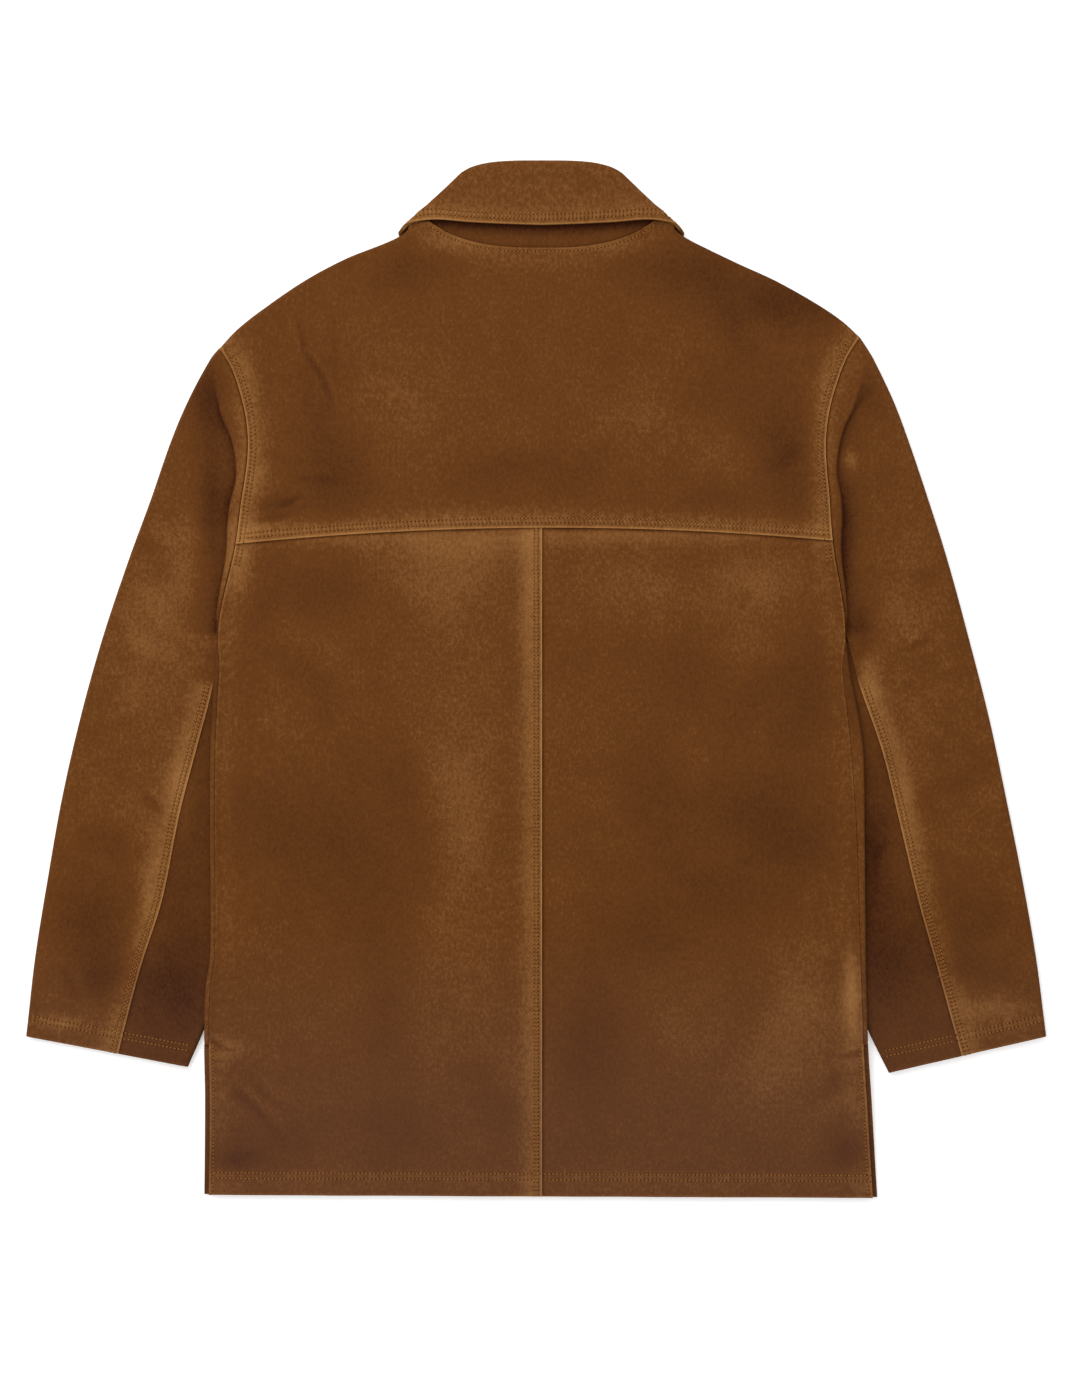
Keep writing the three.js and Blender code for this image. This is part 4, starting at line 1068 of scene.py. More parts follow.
def make_front(name, sign):
    """A blend from the side to the lap, bowed at the top by the cube of the height, and a
    half-round fold with a short run over it along the folded part of the side."""
    lap_edge = NECK_X - sign * FRONT_LAP
    tip = shoulder_tip(sign)
    corner = armhole_point(sign, TIP_SHARE, "front") - (sign * SEAM_GAP, 0)
    low_y = hem_y(sign * HEM_CORNER_X)
    vent = (VENT_TOP_Y - low_y) / (corner[1] - low_y)
    below_vent = spread((0, 0.035, 0.0025), (0.035, vent - VENT_SLIT, 0.0062))
    vs = np.concatenate([below_vent, spread((vent + VENT_SLIT, 1, 0.0062))])
    ys = mix(low_y, corner[1], vs)
    share = np.clip((tip[1] - ys) / (tip[1] - ARMPIT_Y), TIP_SHARE, 1)
    cut_in = armhole_point(sign, share, "front")[:, 0] - sign * SEAM_GAP
    edge = np.where(ys > ARMPIT_Y, cut_in, sign * body_edge(sign, ys))
    folded = (ys <= ARMPIT_Y) & (ys > VENT_TOP_Y)
    low = front_height(sign, edge, ys)
    radius = (back_level(edge, ys) - low - COVER_THICKNESS * armpit_cover(ys)) / 2
    start = np.where(folded, edge - sign * (radius + WALL / 2), edge)
    seam_inside = read(BODY_EDGE, "y", SIDE_NAME[sign] + "_seam", ys)
    run = seam_inside - radius - WALL / 2 - SEAM_GAP / 2

    base = spread((0, 0.94, 0.0135), (0.94, 1, 0.006))
    us = np.where(folded[:, None], base, mix(OPEN_SHARE, 1, base))
    near = np.linspace(0, OPEN_SHARE, FOLD_COLUMNS + 1)[:-1]
    us = np.concatenate([np.where(folded[:, None], 0, near), us], axis=1)
    top_us, top_ys = front_top(sign, corner, lap_edge)
    lap_top = top_ys[-1]
    bow = np.interp(us, top_us, top_ys) - mix(corner[1], lap_top, us)
    inner_y = mix(hem_y(lap_edge), lap_top, vs)
    x = mix(start[:, None], lap_edge, us)
    y = mix(ys[:, None], inner_y[:, None], us) + bow * vs[:, None] ** 3
    z = front_height(sign, x, y)

    angles = np.linspace(np.pi, 0, FOLD_COLUMNS)[:-1]
    fold_x = start[:, None] + sign * radius[:, None] * np.sin(angles)
    fold_z = low[:, None] + radius[:, None] * (1 - np.cos(angles))
    fold_x = np.concatenate([(start - sign * run)[:, None], fold_x], axis=1)
    fold_z = np.concatenate([fold_z[:, :1], fold_z], axis=1)
    sharp = folded[:, None]
    x[:, :FOLD_COLUMNS] = np.where(sharp, fold_x, x[:, :FOLD_COLUMNS])
    y[:, :FOLD_COLUMNS] = np.where(sharp, ys[:, None], y[:, :FOLD_COLUMNS])
    z[:, :FOLD_COLUMNS] = np.where(sharp, fold_z, z[:, :FOLD_COLUMNS])

    grid = np.stack([x, y, z], axis=-1)
    if sign < 0:
        grid = grid[:, ::-1]
    xy = grid[..., :2]
    well_inside = np.abs(xy[..., 0]) < np.abs(edge[:, None]) - UNDER_INSET
    underneath = smooth((grid[..., 2] < UNDER_BELOW_Z) * well_inside * 1.0)
    height = UNDER_DRAPE * drape(xy, 11 + sign) * underneath
    raised, tone, run, ladder = sewing_look(xy, [
        (underneath, HEM_LINE, HEM_ROWS, *SEAM_LOOK["hem below"]),
        (underneath, upright(lap_edge, lap_top), CENTRE_ROWS, *SEAM_LOOK["lap"]),
    ])
    height += raised
    tone += FRONT_TONE
    wrapped = (grid[..., 2] > WRAPPED_Z) * (np.abs(xy[..., 0]) > WRAPPED_X) * (xy[..., 1] < ARMPIT_Y)
    tone += wrapped * mix(*WRAPPED_TONES, smooth((xy[..., 1] - WRAPPED_TURN_Y) / WRAPPED_TURN_RUN))
    return cloth(name, grid, height, tone, run=run, ladder=ladder)


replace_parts(make_front("front_suede_left", -1), "front_left")
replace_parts(make_front("front_suede_right", 1), "front_right")

# Upper sleeves. The outer panel of each two-piece sleeve, with the sleeve head. It is set into the
# armhole under the body's turned edge, where the laid sleeve folds under a strip of itself.
SLEEVE_TOP = 4.9
SLEEVE_TUCKED = 3.6
SLEEVE_TUCK_START = 3
SLEEVE_TUCK_RUN = 18
SLEEVE_HEAD_LIFT = 0.6
SLEEVE_FOOT_LIFT = 1.2
BEGIN_SHARE = 0.06
STARTED_SHARE = 0.2
SETTLE_SHARE = 0.8
SLOPE_RUN = 30
STEP_RUN = 1.3
ARM_LINE_DROP = 2
ARM_LINE_RISE = 1
FRONT_SEAM_PART = 0.06
FRONT_SEAM_SHIFT = 0.28
FRONT_SEAM_RUN = 0.3
SEAM_TRIES = 8
STRIP_LEAST = 2
ARM_STRIP = 10
ARM_STRIP_SHARE = 0.12
STRIP_MARGIN = 4
UPPER_TONE = 0.49
SLEEVE_CLOUDY = 0.3
SLEEVE_DRAPE = 0.4
HEAD_GLOW = 0.06
HEAD_GLOW_WIDTH = 7
HEAD_SHADOW = 0.22
HEAD_SHADOW_WIDTH = 1.1
STEP_SHADOW = 0.34
STEP_SHADOW_RUN = 4
FOLD_SHADOW = {-1: 0.17, 1: 0.1}
FOLD_SHADOW_RUN = 16
STEP_FOOT_SHADE = 0.25
STEP_FOOT_SHADE_WIDTH = 0.8
SEWN_BELOW_Y = 4
SEWN_BELOW_RUN = 14
CUFF_SHARE_BELOW = 0.3
CUFF_ROWS = (13.2, 17.8)

# Outer fold of the two sleeves: distance from the middle line at each height
SLEEVE_EDGE = table("y left right", [
    (280, 252, 265.5),
    (271, 260.8, 271.5),
    (262, 268, 277),
    (229, 286, 293),
    (196, 300, 305.5),
    (147, 317, 322),
    (98, 335, 337.5),
    (32, 357, 355.5),
    (-33, 375, 372),
    (-99, 390, 386),
    (-164, 401.5, 399),
    (-230, 412, 410.5),
    (-293, 419, 418.5),
])

# Seam between the upper and the under sleeve, down the sleeve's top layer
SLEEVE_SEAM = table("y left right", [
    (40, 261.5, 253.5),
    (0, 264.5, 263.5),
    (-57, 279, 283),
    (-112, 293, 296.5),
    (-181, 307, 313),
    (-236, 324.5, 328.5),
    (-289, 338.5, 343),
    (-320, 346, 352),
])
CUFF_OUTER = {-1: (-419, -293), 1: (418.5, -293)}
CUFF_INNER = {-1: (-286.6, -317.8), 1: (287.4, -322.7)}

SLEEVE_CREASES = table("x0 y0 x1 y1 bow width depth", [
    (-322, -95, -304, -116, 2, 3.5, 0.8),
    (-388, -238, -374, -272, 1, 4, 0.6),
    (-330, 120, -300, 60, 8, 10, 0.5),
    (-345, 30, -300, 0, -4, 9, 0.4),
    (-372, -120, -335, -150, 5, 12, 0.4),
    (306, 25, 328, 35, 1, 3.2, 0.9),
    (287, -131, 274, -152, 1, 4, 0.4),
    (270, 240, 282, 205, 3, 8, 0.5),
    (330, 90, 300, 45, -6, 10, 0.45),
    (372, -60, 335, -95, 5, 12, 0.45),
    (385, -190, 345, -215, 4, 11, 0.4),
])


def sleeve_level(sign, place):
    """Top layer of a sleeve below the armpit: lower where it goes under the body."""
    outside = np.abs(place[..., 0]) - body_edge(sign, place[..., 1])
    return mix(SLEEVE_TUCKED, SLEEVE_TOP, smooth((outside - SLEEVE_TUCK_START) / SLEEVE_TUCK_RUN))


def sleeve_edge(sign, y):
    """The middle of the wall at the sleeve's outer fold, at a height."""
    return plan(sign * (side_column(SLEEVE_EDGE, sign, y) - WALL / 2), y)


def sleeve_lines(sign, share):
    """Lines across a sleeve at shares from armpit to cuff: outer and inner ends, and how far along
    the back and the front seam cross. The back seam's place is found by repeated substitution."""
    outer = sleeve_edge(sign, mix(ARMPIT_Y - ARM_LINE_DROP, CUFF_OUTER[sign][1], share))
    inner_y = mix(ARMPIT_Y + ARM_LINE_RISE, CUFF_INNER[sign][1], share)
    inner = plan(sign * inner_fold(sign, inner_y), inner_y)
    part = 0.5 + 0 * share
    for _ in range(SEAM_TRIES):
        seam_x = sign * side_column(SLEEVE_SEAM, sign, mix(inner[:, 1], outer[:, 1], part))
        part = (seam_x - inner[:, 0]) / (outer[:, 0] - inner[:, 0])
    return outer, inner, part, FRONT_SEAM_PART + FRONT_SEAM_SHIFT * smooth(share / FRONT_SEAM_RUN)


def sleeve_seam_line(sign):
    """The back seam in plan, from the armpit to the cuff."""
    outer, inner, part, _ = sleeve_lines(sign, np.linspace(0, 1, 70))
    return mix(inner, outer, part[:, None])


SLEEVE_SEAM_LINES = {sign: sleeve_seam_line(sign) for sign in (-1, 1)}
CUFF_LINES = {sign: np.array([CUFF_OUTER[sign], CUFF_INNER[sign]], dtype=float) for sign in (-1, 1)}
SLEEVE_ROWS = (3.3, 6.6)
NEAR_PARTS = np.linspace(0, 1, 14)
STEP_REACH = np.array([0.4, 0.8, 1.2, 1.6, 2.2, 3.2, 5])
FAR_PARTS = np.linspace(0, 1, 36)[1:]
ROUND = np.linspace(0, np.pi, 9)[1:]
BACK_PARTS = np.linspace(0, 1, 26)[1:]


def sleeve_section(top, outer, bottom, outer_z, floor_z, bottom_z, strip, top_z):
    """Sections of the upper sleeve: along the top layer, half round the outer fold, and back along
    the bottom. Columns of the top layer keep to the strip beside the seam and its step."""
    radius = ((outer_z - floor_z) / 2)[:, None]
    ahead = unit(outer - top)[:, None]
    start = outer[:, None] - ahead * radius[..., None]
    length = np.linalg.norm(start - top[:, None], axis=-1)
    strip = strip[:, None]
    near = np.concatenate([strip * NEAR_PARTS, strip + STEP_REACH], axis=1)
    near = near * np.minimum(1, length / (strip + STEP_REACH[-1] + STRIP_MARGIN))
    reach = np.concatenate([near, mix(near[:, -1:], length, FAR_PARTS)], axis=1)
    over = top[:, None] + ahead * reach[..., None]
    turned = start + ahead * (radius * np.sin(ROUND))[..., None]
    turned_z = floor_z[:, None] + radius * (1 + np.cos(ROUND))
    back = mix(start, bottom[:, None], BACK_PARTS[None, :, None])
    back_z = mix(floor_z[:, None], bottom_z[:, None], BACK_PARTS)
    layers = [at_height(over, top_z(over, reach)), at_height(turned, turned_z), at_height(back, back_z)]
    return np.concatenate(layers, axis=1)


def sleeve_head(sign, share):
    """Sections round the armhole, from the shoulder tip to the armpit. The strip beside the
    armhole lies at the yoke's height and then steps down to the sleeve's own."""
    beginning = np.clip(share / BEGIN_SHARE, 0, 1)[:, None]
    gap = np.array([sign * SEAM_GAP, 0]) * np.maximum(beginning, 0.1)
    top = armhole_point(sign, share, "back") + gap
    bottom = armhole_point(sign, share, "front") + gap
    tip_out = shoulder_point(sign, 1.0)[1][0]
    tip_radius = (yoke_level(*top.T) - front_level(*top.T)) / 2 + WALL / 2
    outer_y = mix(top[:, 1] + tip_out[1] * tip_radius, top[:, 1], beginning[:, 0])
    outer = sleeve_edge(sign, outer_y)
    bottom = mix(top, bottom, beginning)
    settle = smooth((share - SETTLE_SHARE) / (1 - SETTLE_SHARE))
    started = smooth(share / STARTED_SHARE)
    high = mix(yoke_level(*top.T), SLEEVE_TUCKED + SLEEVE_HEAD_LIFT, settle)
    low = mix(front_level(*bottom.T), WALL / 2 + SLEEVE_FOOT_LIFT, settle)
    outer_z = mix(high, SLEEVE_TOP, started)
    floor_z = mix(low, WALL / 2, started)
    strip = read(ARMHOLE, "share", "strip", share)
    step = mix(SLOPE_RUN, STEP_RUN, read(ARMHOLE, "share", "step", share))[:, None]

    def top_z(place, reach):
        return mix(high[:, None], outer_z[:, None], smooth((reach - strip[:, None]) / step))

    return sleeve_section(top, outer, bottom, outer_z, floor_z, low, np.maximum(strip, STRIP_LEAST), top_z)


def sleeve_arm(sign, share):
    """Sections below the armpit, from the back seam to the front seam."""
    outer, inner, back_seam, front_seam = sleeve_lines(sign, share)
    across = unit(outer - inner) * SEAM_GAP / 2
    flat = np.full(len(share), WALL / 2)
    strip = mix(STRIP_LEAST, ARM_STRIP, smooth(share / ARM_STRIP_SHARE))
    top = mix(inner, outer, back_seam[:, None]) + across
    bottom = mix(inner, outer, front_seam[:, None]) + across
    outer_z = np.full(len(share), SLEEVE_TOP)

    def top_z(place, reach):
        return sleeve_level(sign, place)

    return sleeve_section(top, outer, bottom, outer_z, flat, flat, strip, top_z)


def sleeve_finish(grid, sign, top_columns, base_tone, seed, lapped):
    """Look of a sleeve: creases on its top layer, cuff rows all round, and on the lapped piece the
    back seam's rows, which come out from under the body below the armpit."""
    xy = grid[..., :2]
    on_top = np.zeros(grid.shape[:2])
    on_top[:, :top_columns] = 1
    creases = crease_relief(xy, SLEEVE_CREASES) * on_top
    height = creases + drape(xy, seed, SLEEVE_DRAPE) * on_top
    tone = base_tone + CREASE_SHADING * creases + patch_tone(xy)
    seams = [(mix(CUFF_SHARE_BELOW, 1, on_top), CUFF_LINES[sign], CUFF_ROWS, *SEAM_LOOK["cuff"])]
    if lapped:
        clear = smooth((SEWN_BELOW_Y - xy[..., 1]) / SEWN_BELOW_RUN) * on_top
        seams.append((clear, SLEEVE_SEAM_LINES[sign], SLEEVE_ROWS, *SEAM_LOOK["sleeve"]))
    raised, lighter, run, ladder = sewing_look(xy, seams)
    return xy, on_top, height + raised, tone + lighter, run, ladder


def make_upper_sleeve(name, sign):
    """Head and arm sections in one grid, with the back seam turned and lapped over the under sleeve."""
    head_shares = spread((0, 0.1, 0.006), (0.1, 1, 0.0115))
    head = sleeve_head(sign, head_shares)
    arm = sleeve_arm(sign, spread((0.015, 0.93, 0.009), (0.93, 1, 0.0028)))
    grid = np.concatenate([head, arm])
    top_columns = len(NEAR_PARTS) + len(STEP_REACH) + len(FAR_PARTS)
    finish = sleeve_finish(grid, sign, top_columns, UPPER_TONE, 21 + sign, True)
    xy, on_top, height, tone, run, ladder = finish
    # Painted light just beside the armhole and painted shade in the crevice at it; past the strip's step,
    # painted shade falling off across the sleeve, and a painted dark line at the step's foot.
    away = along_line(xy, ARMHOLE_LINES[sign])[0]
    tone += HEAD_GLOW * bell(away, HEAD_GLOW_WIDTH) - HEAD_SHADOW * bell(away, HEAD_SHADOW_WIDTH)
    foot = np.maximum(read(ARMHOLE, "share", "strip", head_shares), 1)[:, None] + 1
    reach = np.linalg.norm(xy[: len(head)] - xy[: len(head), :1], axis=-1)
    stepped = read(ARMHOLE, "share", "step", head_shares)[:, None] * on_top[: len(head)]
    past = reach - foot
    shadow = STEP_SHADOW * np.exp(-past / STEP_SHADOW_RUN)
    shadow = shadow + FOLD_SHADOW[sign] * np.exp(-past / FOLD_SHADOW_RUN)
    foot_shade = STEP_FOOT_SHADE * bell(past, STEP_FOOT_SHADE_WIDTH)
    tone[: len(head)] -= stepped * np.where(past > 0, shadow, foot_shade)
    if sign > 0:
        grid, height, tone, run, ladder = (part[::-1] for part in (grid, height, tone, run, ladder))
    return cloth(name, grid, height, tone, SLEEVE_CLOUDY, run, ladder)


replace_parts(make_upper_sleeve("upper_sleeve_suede_left", -1), "sleeve_upper_left")
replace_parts(make_upper_sleeve("upper_sleeve_suede_right", 1), "sleeve_upper_right")

# Under sleeves. The narrow inner panel from the armpit to the cuff, most of it tucked under the body.
# It runs from the back seam in along the top layer, round the hidden fold and back to the front seam.
UNDER_TOP = np.concatenate([np.linspace(0, 0.1, 5)[:-1], np.linspace(0.1, 1, 34)])
UNDER_BACK = np.linspace(0, 1, 14)[1:]
# The under sleeve's darker tone is partly painted shade, where it lies beside and under the body's edge.
UNDER_TONE = 0.34
UNDER_SHADOW = 0.1
UNDER_SHADOW_WIDTH = 2


def make_under_sleeve(name, sign):
    """Straight runs in plan at the sleeve's level, half round the hidden fold, and back."""
    share = spread((0.03, 0.93, 0.009), (0.93, 1, 0.0028))
    outer, inner, back_seam, front_seam = sleeve_lines(sign, share)
    across = unit(outer - inner)
    radius = (SLEEVE_TUCKED - WALL / 2) / 2
    start = inner + across * (radius + WALL / 2)
    seam_top = mix(inner, outer, back_seam[:, None]) - across * SEAM_GAP / 2
    seam_low = mix(inner, outer, front_seam[:, None]) - across * SEAM_GAP / 2
    over = mix(seam_top[:, None], start[:, None], UNDER_TOP[None, :, None])
    over_z = sleeve_level(sign, over)
    turn = (over_z[:, -1:] - WALL / 2) / 2
    turned = start[:, None] - across[:, None] * radius * np.sin(ROUND)[None, :, None]
    turned_z = WALL / 2 + turn * (1 + np.cos(ROUND))
    back = mix(start[:, None], seam_low[:, None], UNDER_BACK[None, :, None])
    back_z = np.full(back.shape[:2], WALL / 2)
    layers = [at_height(over, over_z), at_height(turned, turned_z), at_height(back, back_z)]
    grid = np.concatenate(layers, axis=1)
    finish = sleeve_finish(grid, sign, len(UNDER_TOP), UNDER_TONE, 31 + sign, False)
    xy, on_top, height, tone, run, ladder = finish
    away = along_line(xy, SLEEVE_SEAM_LINES[sign])[0]
    tone -= UNDER_SHADOW * bell(away, UNDER_SHADOW_WIDTH) * on_top
    if sign < 0:
        grid, height, tone, run, ladder = (part[::-1] for part in (grid, height, tone, run, ladder))
    return cloth(name, grid, height, tone, SLEEVE_CLOUDY, run, ladder)


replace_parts(make_under_sleeve("under_sleeve_suede_left", -1), "sleeve_under_left")
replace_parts(make_under_sleeve("under_sleeve_suede_right", 1), "sleeve_under_right")

# Collar. A stand sewn up round the neck, and a fall that rolls over its top and down outside it to
# a turned edge with two rows of stitches. Both run on round the neck to the centre front below.
COLLAR_ROWS = (4.3, 8.3)
STAND_TOP_SHARE = 0.8
STAND_FOOT = 2
STAND_SUNK = 1.5
FALL_TONE = 0.53
STAND_TONE = 0.42
STAND_SHADOW_WIDTH = 7
ROLL_ROWS = 15
FALL_SEAM = 5
LEAF_FINE_SHARE = 0.72
LEAF_START_ROWS = 6
LEAF_BELOW_SHARE = 0.2
LEAF_TURNED = 0.9
LEAF_DRAPE = 0.25
LYING_START = 0.15
LYING_RUN = 0.35


def collar_grids():
    """Stand and fall as stations round the neck by parts up the stand, round the roll (a half
    circle) and down the leaf."""
    half = spread((0, 6, 0.11), (6, 10, 0.16))
    ends = [collar_station(-1, half[:0:-1]), collar_station(1, half)]
    neck, fold, leaf, up, out, radius = (np.concatenate(pair) for pair in zip(*ends))
    rise = fold - up * (radius + WALL / 2)
    join = mix(neck, rise, STAND_TOP_SHARE)
    foot = neck + up * STAND_FOOT
    sunk = neck - up * STAND_SUNK - out * (WALL + SEAM_GAP)
    rising = mix(foot[None], join[None], np.linspace(0, 1, 16)[:, None, None])
    stand = np.concatenate([sunk[None], rising])
    angles = np.linspace(0, np.pi, ROLL_ROWS)[:, None, None]
    roll = rise[None] + up[None] * radius * np.sin(angles) + out[None] * radius * (1 - np.cos(angles))
    drop = [np.linspace(0, LEAF_FINE_SHARE, 12)[1:], np.linspace(LEAF_FINE_SHARE, 1, 24)[1:]]
    drop = np.concatenate(drop)[:, None, None]
    leaf_rows = mix(roll[-1][None], leaf[None], drop)
    fall = np.concatenate([(join + up * SEAM_GAP * FALL_SEAM)[None], roll, leaf_rows])
    return stand, fall, leaf, out[:, 2]


stand_grid, fall_grid, leaf_edge, facing_up = collar_grids()
LEAF_LINE = leaf_edge[:, :2]
fall_grid = fall_grid[:, ::-1]
facing_up = facing_up[::-1]
fall_xy = fall_grid[..., :2]
leaf_part = smooth((np.arange(len(fall_grid)) - ROLL_ROWS) / LEAF_START_ROWS)[:, None]
leaf_part = leaf_part * mix(LEAF_BELOW_SHARE, 1, smooth(facing_up + LEAF_TURNED))
leaf_seam = (leaf_part, LEAF_LINE, COLLAR_ROWS, *SEAM_LOOK["leaf"])
raised, lighter, run, ladder = sewing_look(fall_xy, [leaf_seam])
fall_height = raised + drape(fall_xy, 41, LEAF_DRAPE) * leaf_part
lying = smooth((np.abs(facing_up) - LYING_START) / LYING_RUN)
fall_tone = FALL_TONE + lighter * lying + patch_tone(fall_xy)
ladder = ladder * lying
stand_away = along_line(stand_grid[..., :2], LEAF_LINE)[0]
stand_tone = STAND_TONE - STAND_TONE * bell(stand_away, STAND_SHADOW_WIDTH)
fall = cloth("collar_fall_suede", fall_grid, fall_height, fall_tone,
             run=run, ladder=ladder)
stand = cloth("collar_stand_suede", stand_grid, 0 * stand_tone, stand_tone)
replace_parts(fall, "collar_fall")
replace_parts(stand, "collar_stand")

# Sewing. Every row is thread of the suede's own lighter brown, about eight stitches to the inch, laid
# on the cloth by finding its surface under each stitch, with a dark needle hole where each one ends.
STITCH_HALF_LENGTH = 1.12
THREAD_HALF = 0.42
HOLE_HALF = 0.42
HOLE_HEIGHT = 0.12
RAY_START = 60
THREAD_BROWN = srgb(150, 99, 49)
HOLE_BROWN = srgb(56, 27, 9)
STITCH_PARTS = np.array([-1, -0.55, 0.55, 1])
STITCH_LIFTS = np.array([-0.12, 0.1, 0.1, -0.12])
STITCH_HALVES = THREAD_HALF * np.array([0.45, 1, 1, 0.45])
RING_CORNERS = 4
PACE_STEP = 0.4
TACK_PITCH = 0.85
TACK_LENGTH = 4.2


def plain_material(name, colour, speckle, roughness):
    """One brown, a little uneven from stitch to stitch."""
    material, shade = new_material(name)
    amount = noise(shade, GRAIN_PER_M, 1, shade.make("ShaderNodeTexCoord", output=3))
    darker = tuple(part * (1 - speckle) for part in colour[:3]) + (1,)
    mixed = blend_colours(shade, amount, darker, colour)
    finish = {"Base Color": mixed, "Roughness": roughness, "Specular IOR Level": 0.05}
    finish_material(shade, shade.make("ShaderNodeBsdfPrincipled", None, finish))
    return material


thread_material = plain_material("thread", THREAD_BROWN, 0.45, 0.9)
hole_material = plain_material("needle_hole", HOLE_BROWN, 0.2, 1.0)


def beside(line, away, side):
    """The line moved sideways: side 1 is to the left of the way it runs, and -1 to the right."""
    ahead = unit(np.gradient(line, axis=0))
    return line + plan(-ahead[:, 1], ahead[:, 0]) * away * side


def paces(line, pitch):
    """Middles of equal paces along a line, and the way it runs there."""
    runs = np.concatenate([[0], np.cumsum(np.linalg.norm(np.diff(line, axis=0), axis=1))])
    count = max(1, round(runs[-1] / pitch))
    at = (np.arange(count) + 0.5) * runs[-1] / count

    def place(run):
        return plan(np.interp(run, runs, line[:, 0]), np.interp(run, runs, line[:, 1]))

    return place(at), unit(place(at + PACE_STEP) - place(at - PACE_STEP))


def land(surfaces, xy, below):
    """Places on the cloth straight under the points, or straight over them where seen from below,
    and which of them meet the cloth."""
    way = Vector((0, 0, 1 if below else -1))
    found = np.zeros((len(xy), 3))
    met = np.zeros(len(xy), dtype=bool)
    for i, (x, y) in enumerate(xy * MM):
        start = Vector((x, y, 0)) - way * RAY_START * MM
        hits = [hit for hit in (surface.ray_cast(start, way)[0] for surface in surfaces) if hit]
        if hits:
            found[i] = min(hits, key=lambda hit: (hit - start).length)
            met[i] = True
    return found / MM, met


def ringed(middles, ahead, up, along, lift, half):
    """Closed low-poly solids: rings of four corners at distances along, lifted and half as wide as
    given, all as one array of points and one of four-cornered faces."""
    side = np.cross(up, ahead)
    turns = np.arange(RING_CORNERS) * np.pi / 2 + np.pi / 4
    sideways, upwards = np.cos(turns)[:, None], np.sin(turns)[:, None]
    spine = middles[:, None] + ahead[:, None] * along[None, :, None] + up[:, None] * lift[None, :, None]
    ring = side[:, None, None] * sideways + up[:, None, None] * upwards
    points = spine[:, :, None] + ring * (half * math.sqrt(2))[None, :, None, None]
    count = len(along) * RING_CORNERS
    ids = np.arange(count).reshape(-1, RING_CORNERS)
    around = np.roll(ids, -1, axis=1)
    walls = np.stack([ids[:-1], ids[1:], around[1:], around[:-1]], axis=-1).reshape(-1, 4)
    one = np.concatenate([walls, ids[:1], ids[-1:, ::-1]])
    faces = one[None] + (np.arange(len(middles)) * count)[:, None, None]
    return points.reshape(-1, 3), faces.reshape(-1, 4)


def sew(name, pieces, rows):
    """Joined stitches along rows on the pieces named: (line, seen from below, pitch) for each row."""
    depsgraph = bpy.context.evaluated_depsgraph_get()
    surfaces = [BVHTree.FromObject(bpy.data.objects[piece], depsgraph) for piece in pieces]
    middles, aheads, ups, holes = [], [], [], []
    for line, below, pitch in rows:
        xy, ahead = paces(line, pitch)
        first, first_met = land(surfaces, xy - ahead * STITCH_HALF_LENGTH, below)
        last, last_met = land(surfaces, xy + ahead * STITCH_HALF_LENGTH, below)
        level = np.abs(first[:, 2] - last[:, 2]) < STITCH_HALF_LENGTH
        kept = first_met & last_met & level
        middles.append((first[kept] + last[kept]) / 2)
        aheads.append(unit(last[kept] - first[kept]))
        ups.append(np.tile([0, 0, -1.0 if below else 1.0], (kept.sum(), 1)))
        holes.append(last[kept] + aheads[-1] * (pitch / 2 - STITCH_HALF_LENGTH))
    middles, aheads, ups, holes = (np.concatenate(part) for part in (middles, aheads, ups, holes))
    along = STITCH_PARTS * STITCH_HALF_LENGTH
    stitch = ringed(middles, aheads, ups, along, STITCH_LIFTS, STITCH_HALVES)
    flat = np.array([-1.0, 1.0]) * HOLE_HALF
    hole = ringed(holes, aheads, ups, flat, np.full(2, HOLE_HEIGHT - HOLE_HALF), np.full(2, HOLE_HALF))
    points = np.concatenate([stitch[0], hole[0]]) * MM
    faces = np.concatenate([stitch[1], hole[1] + len(stitch[0])])
    mesh = bpy.data.meshes.new(name)
    mesh.from_pydata(points, [], faces)
    mesh.materials.append(thread_material)
    mesh.materials.append(hole_material)
    is_hole = np.repeat([0, 1], [len(stitch[1]), len(hole[1])]).astype(np.int32)
    mesh.polygons.foreach_set("material_index", is_hole)
    mesh.polygons.foreach_set("use_smooth", is_hole == 0)
    sewing = bpy.data.objects.new(name, mesh)
    bpy.context.scene.collection.objects.link(sewing)
    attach(sewing, "root")


def pairs(line, distances, side, below=False):
    """Rows beside a line at the distances given."""
    return [(beside(line, away, side), below, STITCH_PITCH) for away in distances]


def bar_tack(x, y, angle):
    """A short line of close stitches, which is how a bar tack is sewn."""
    way = np.array([math.cos(angle), math.sin(angle)]) * TACK_LENGTH / 2
    return (np.array([[x, y] - way, [x, y] + way]), False, TACK_PITCH)


def stretch(line, low, high):
    """The part of a line between two heights."""
    return line[(line[:, 1] > low) & (line[:, 1] < high)]


ARMHOLE_SEWN = slice(2, 40)
SLEEVE_SEWN = (-400, -2)
SLEEVE_TACK = (332, -243, 0.2)
HEM_SEWN = (-266, 274)
CUFF_SEWN = (0.012, 0.988)
LEAF_BACK_Y = 367
LEAF_FRONT_Y = 358

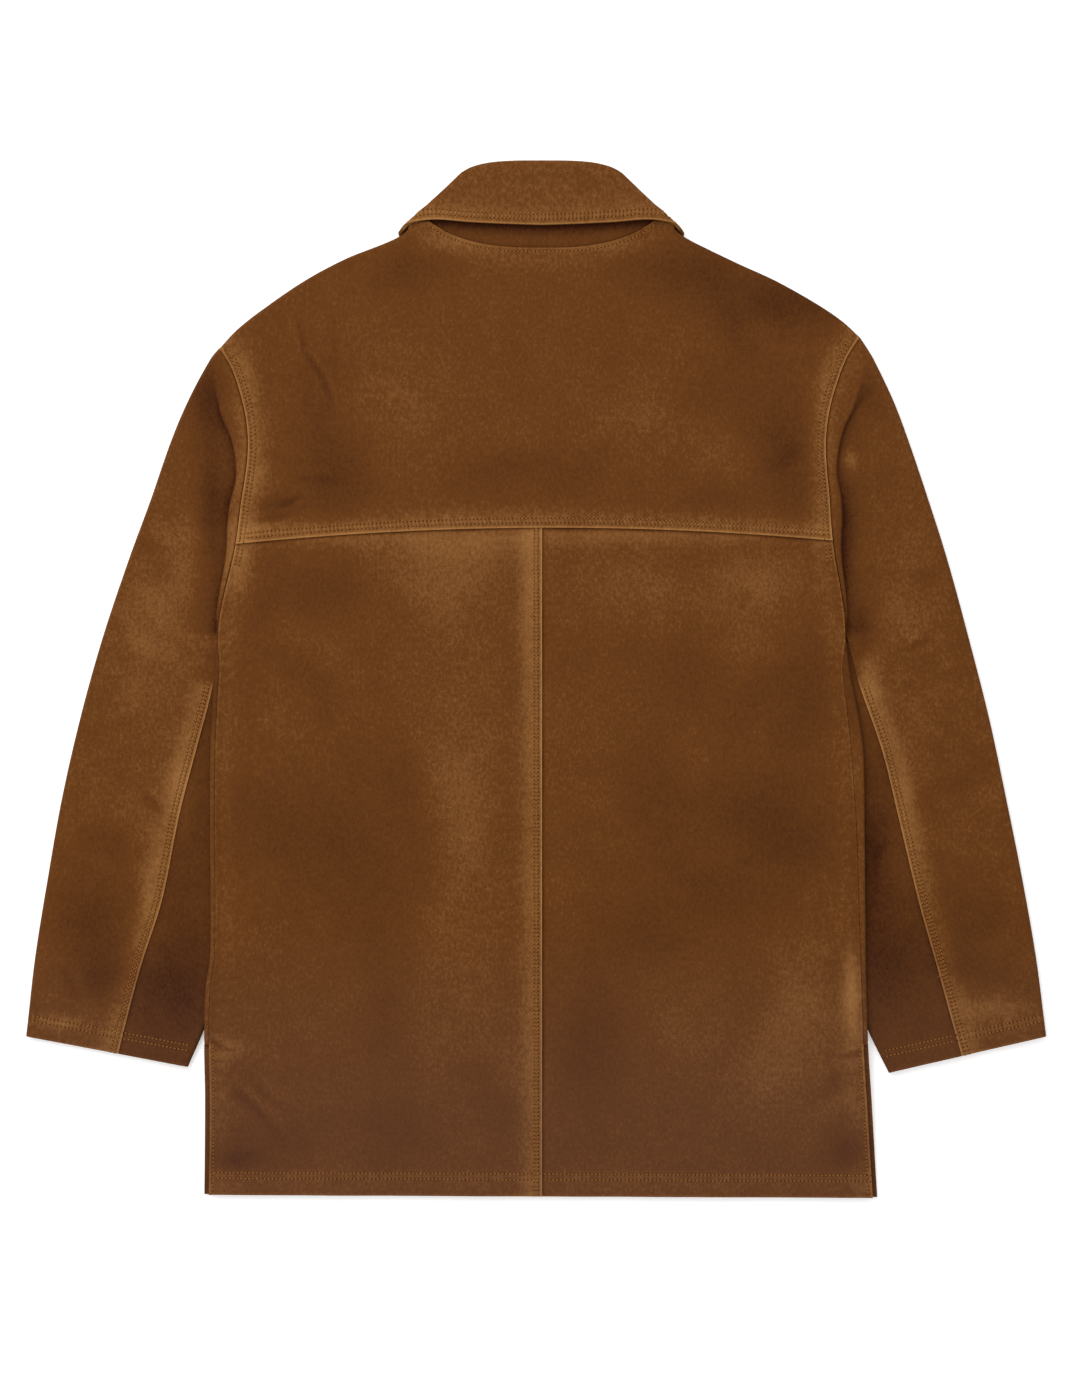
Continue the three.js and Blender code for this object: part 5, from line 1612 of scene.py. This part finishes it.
bodies = ["yoke_suede", "back_suede_left", "back_suede_right"]
yoke_rows = pairs(SEAM_LINE[1:-1], YOKE_ROWS, 1) + pairs(NECK_LINE, NECK_ROWS, -1)
for sign, line in ARMHOLE_LINES.items():
    yoke_rows += pairs(line[ARMHOLE_SEWN], ARMHOLE_ROWS, -sign)
sew("yoke_stitches", bodies, yoke_rows)

hem_steps = np.linspace(*HEM_SEWN, 100)
hem_line = plan(hem_steps, hem_y(hem_steps))
centre_line = plan(CENTRE_SEAM_X, np.linspace(hem_y(0) + 2, CENTRE_LINE[1, 1] - 2, 60))
back_rows = pairs(centre_line, CENTRE_ROWS, 1) + pairs(hem_line, HEM_ROWS, 1)
for sign, line in VENT_LINES.items():
    back_rows += pairs(line[:-1], VENT_ROWS, -sign)
    tack_x, tack_y = line[0]
    back_rows.append(bar_tack(tack_x - sign * 2, tack_y, 0.15))
sew("back_stitches", bodies, back_rows)
sew("front_stitches", ["front_suede_left", "front_suede_right"], pairs(hem_line, HEM_ROWS, 1, below=True))

for sign, side_name in SIDE_NAME.items():
    arms = [f"upper_sleeve_suede_{side_name}", f"under_sleeve_suede_{side_name}"]
    seam = stretch(SLEEVE_SEAM_LINES[sign], *SLEEVE_SEWN)
    cuff = mix(*CUFF_LINES[sign], np.linspace(*CUFF_SEWN, 40)[:, None])
    arm_rows = pairs(seam, SLEEVE_ROWS, sign) + pairs(cuff, CUFF_ROWS, -sign)
    arm_rows += pairs(cuff, CUFF_ROWS, -sign, below=True)
    if sign > 0:
        arm_rows.append(bar_tack(*SLEEVE_TACK))
    sew(f"sleeve_stitches_{side_name}", arms, arm_rows)

collar_rows = pairs(stretch(LEAF_LINE, LEAF_BACK_Y, math.inf), COLLAR_ROWS, 1)
for sign in (-1, 1):
    half_leaf = LEAF_LINE[sign * LEAF_LINE[:, 0] > 0]
    collar_rows += pairs(stretch(half_leaf, -math.inf, LEAF_FRONT_Y), COLLAR_ROWS, -1, below=True)
sew("collar_stitches", ["collar_fall_suede"], collar_rows)
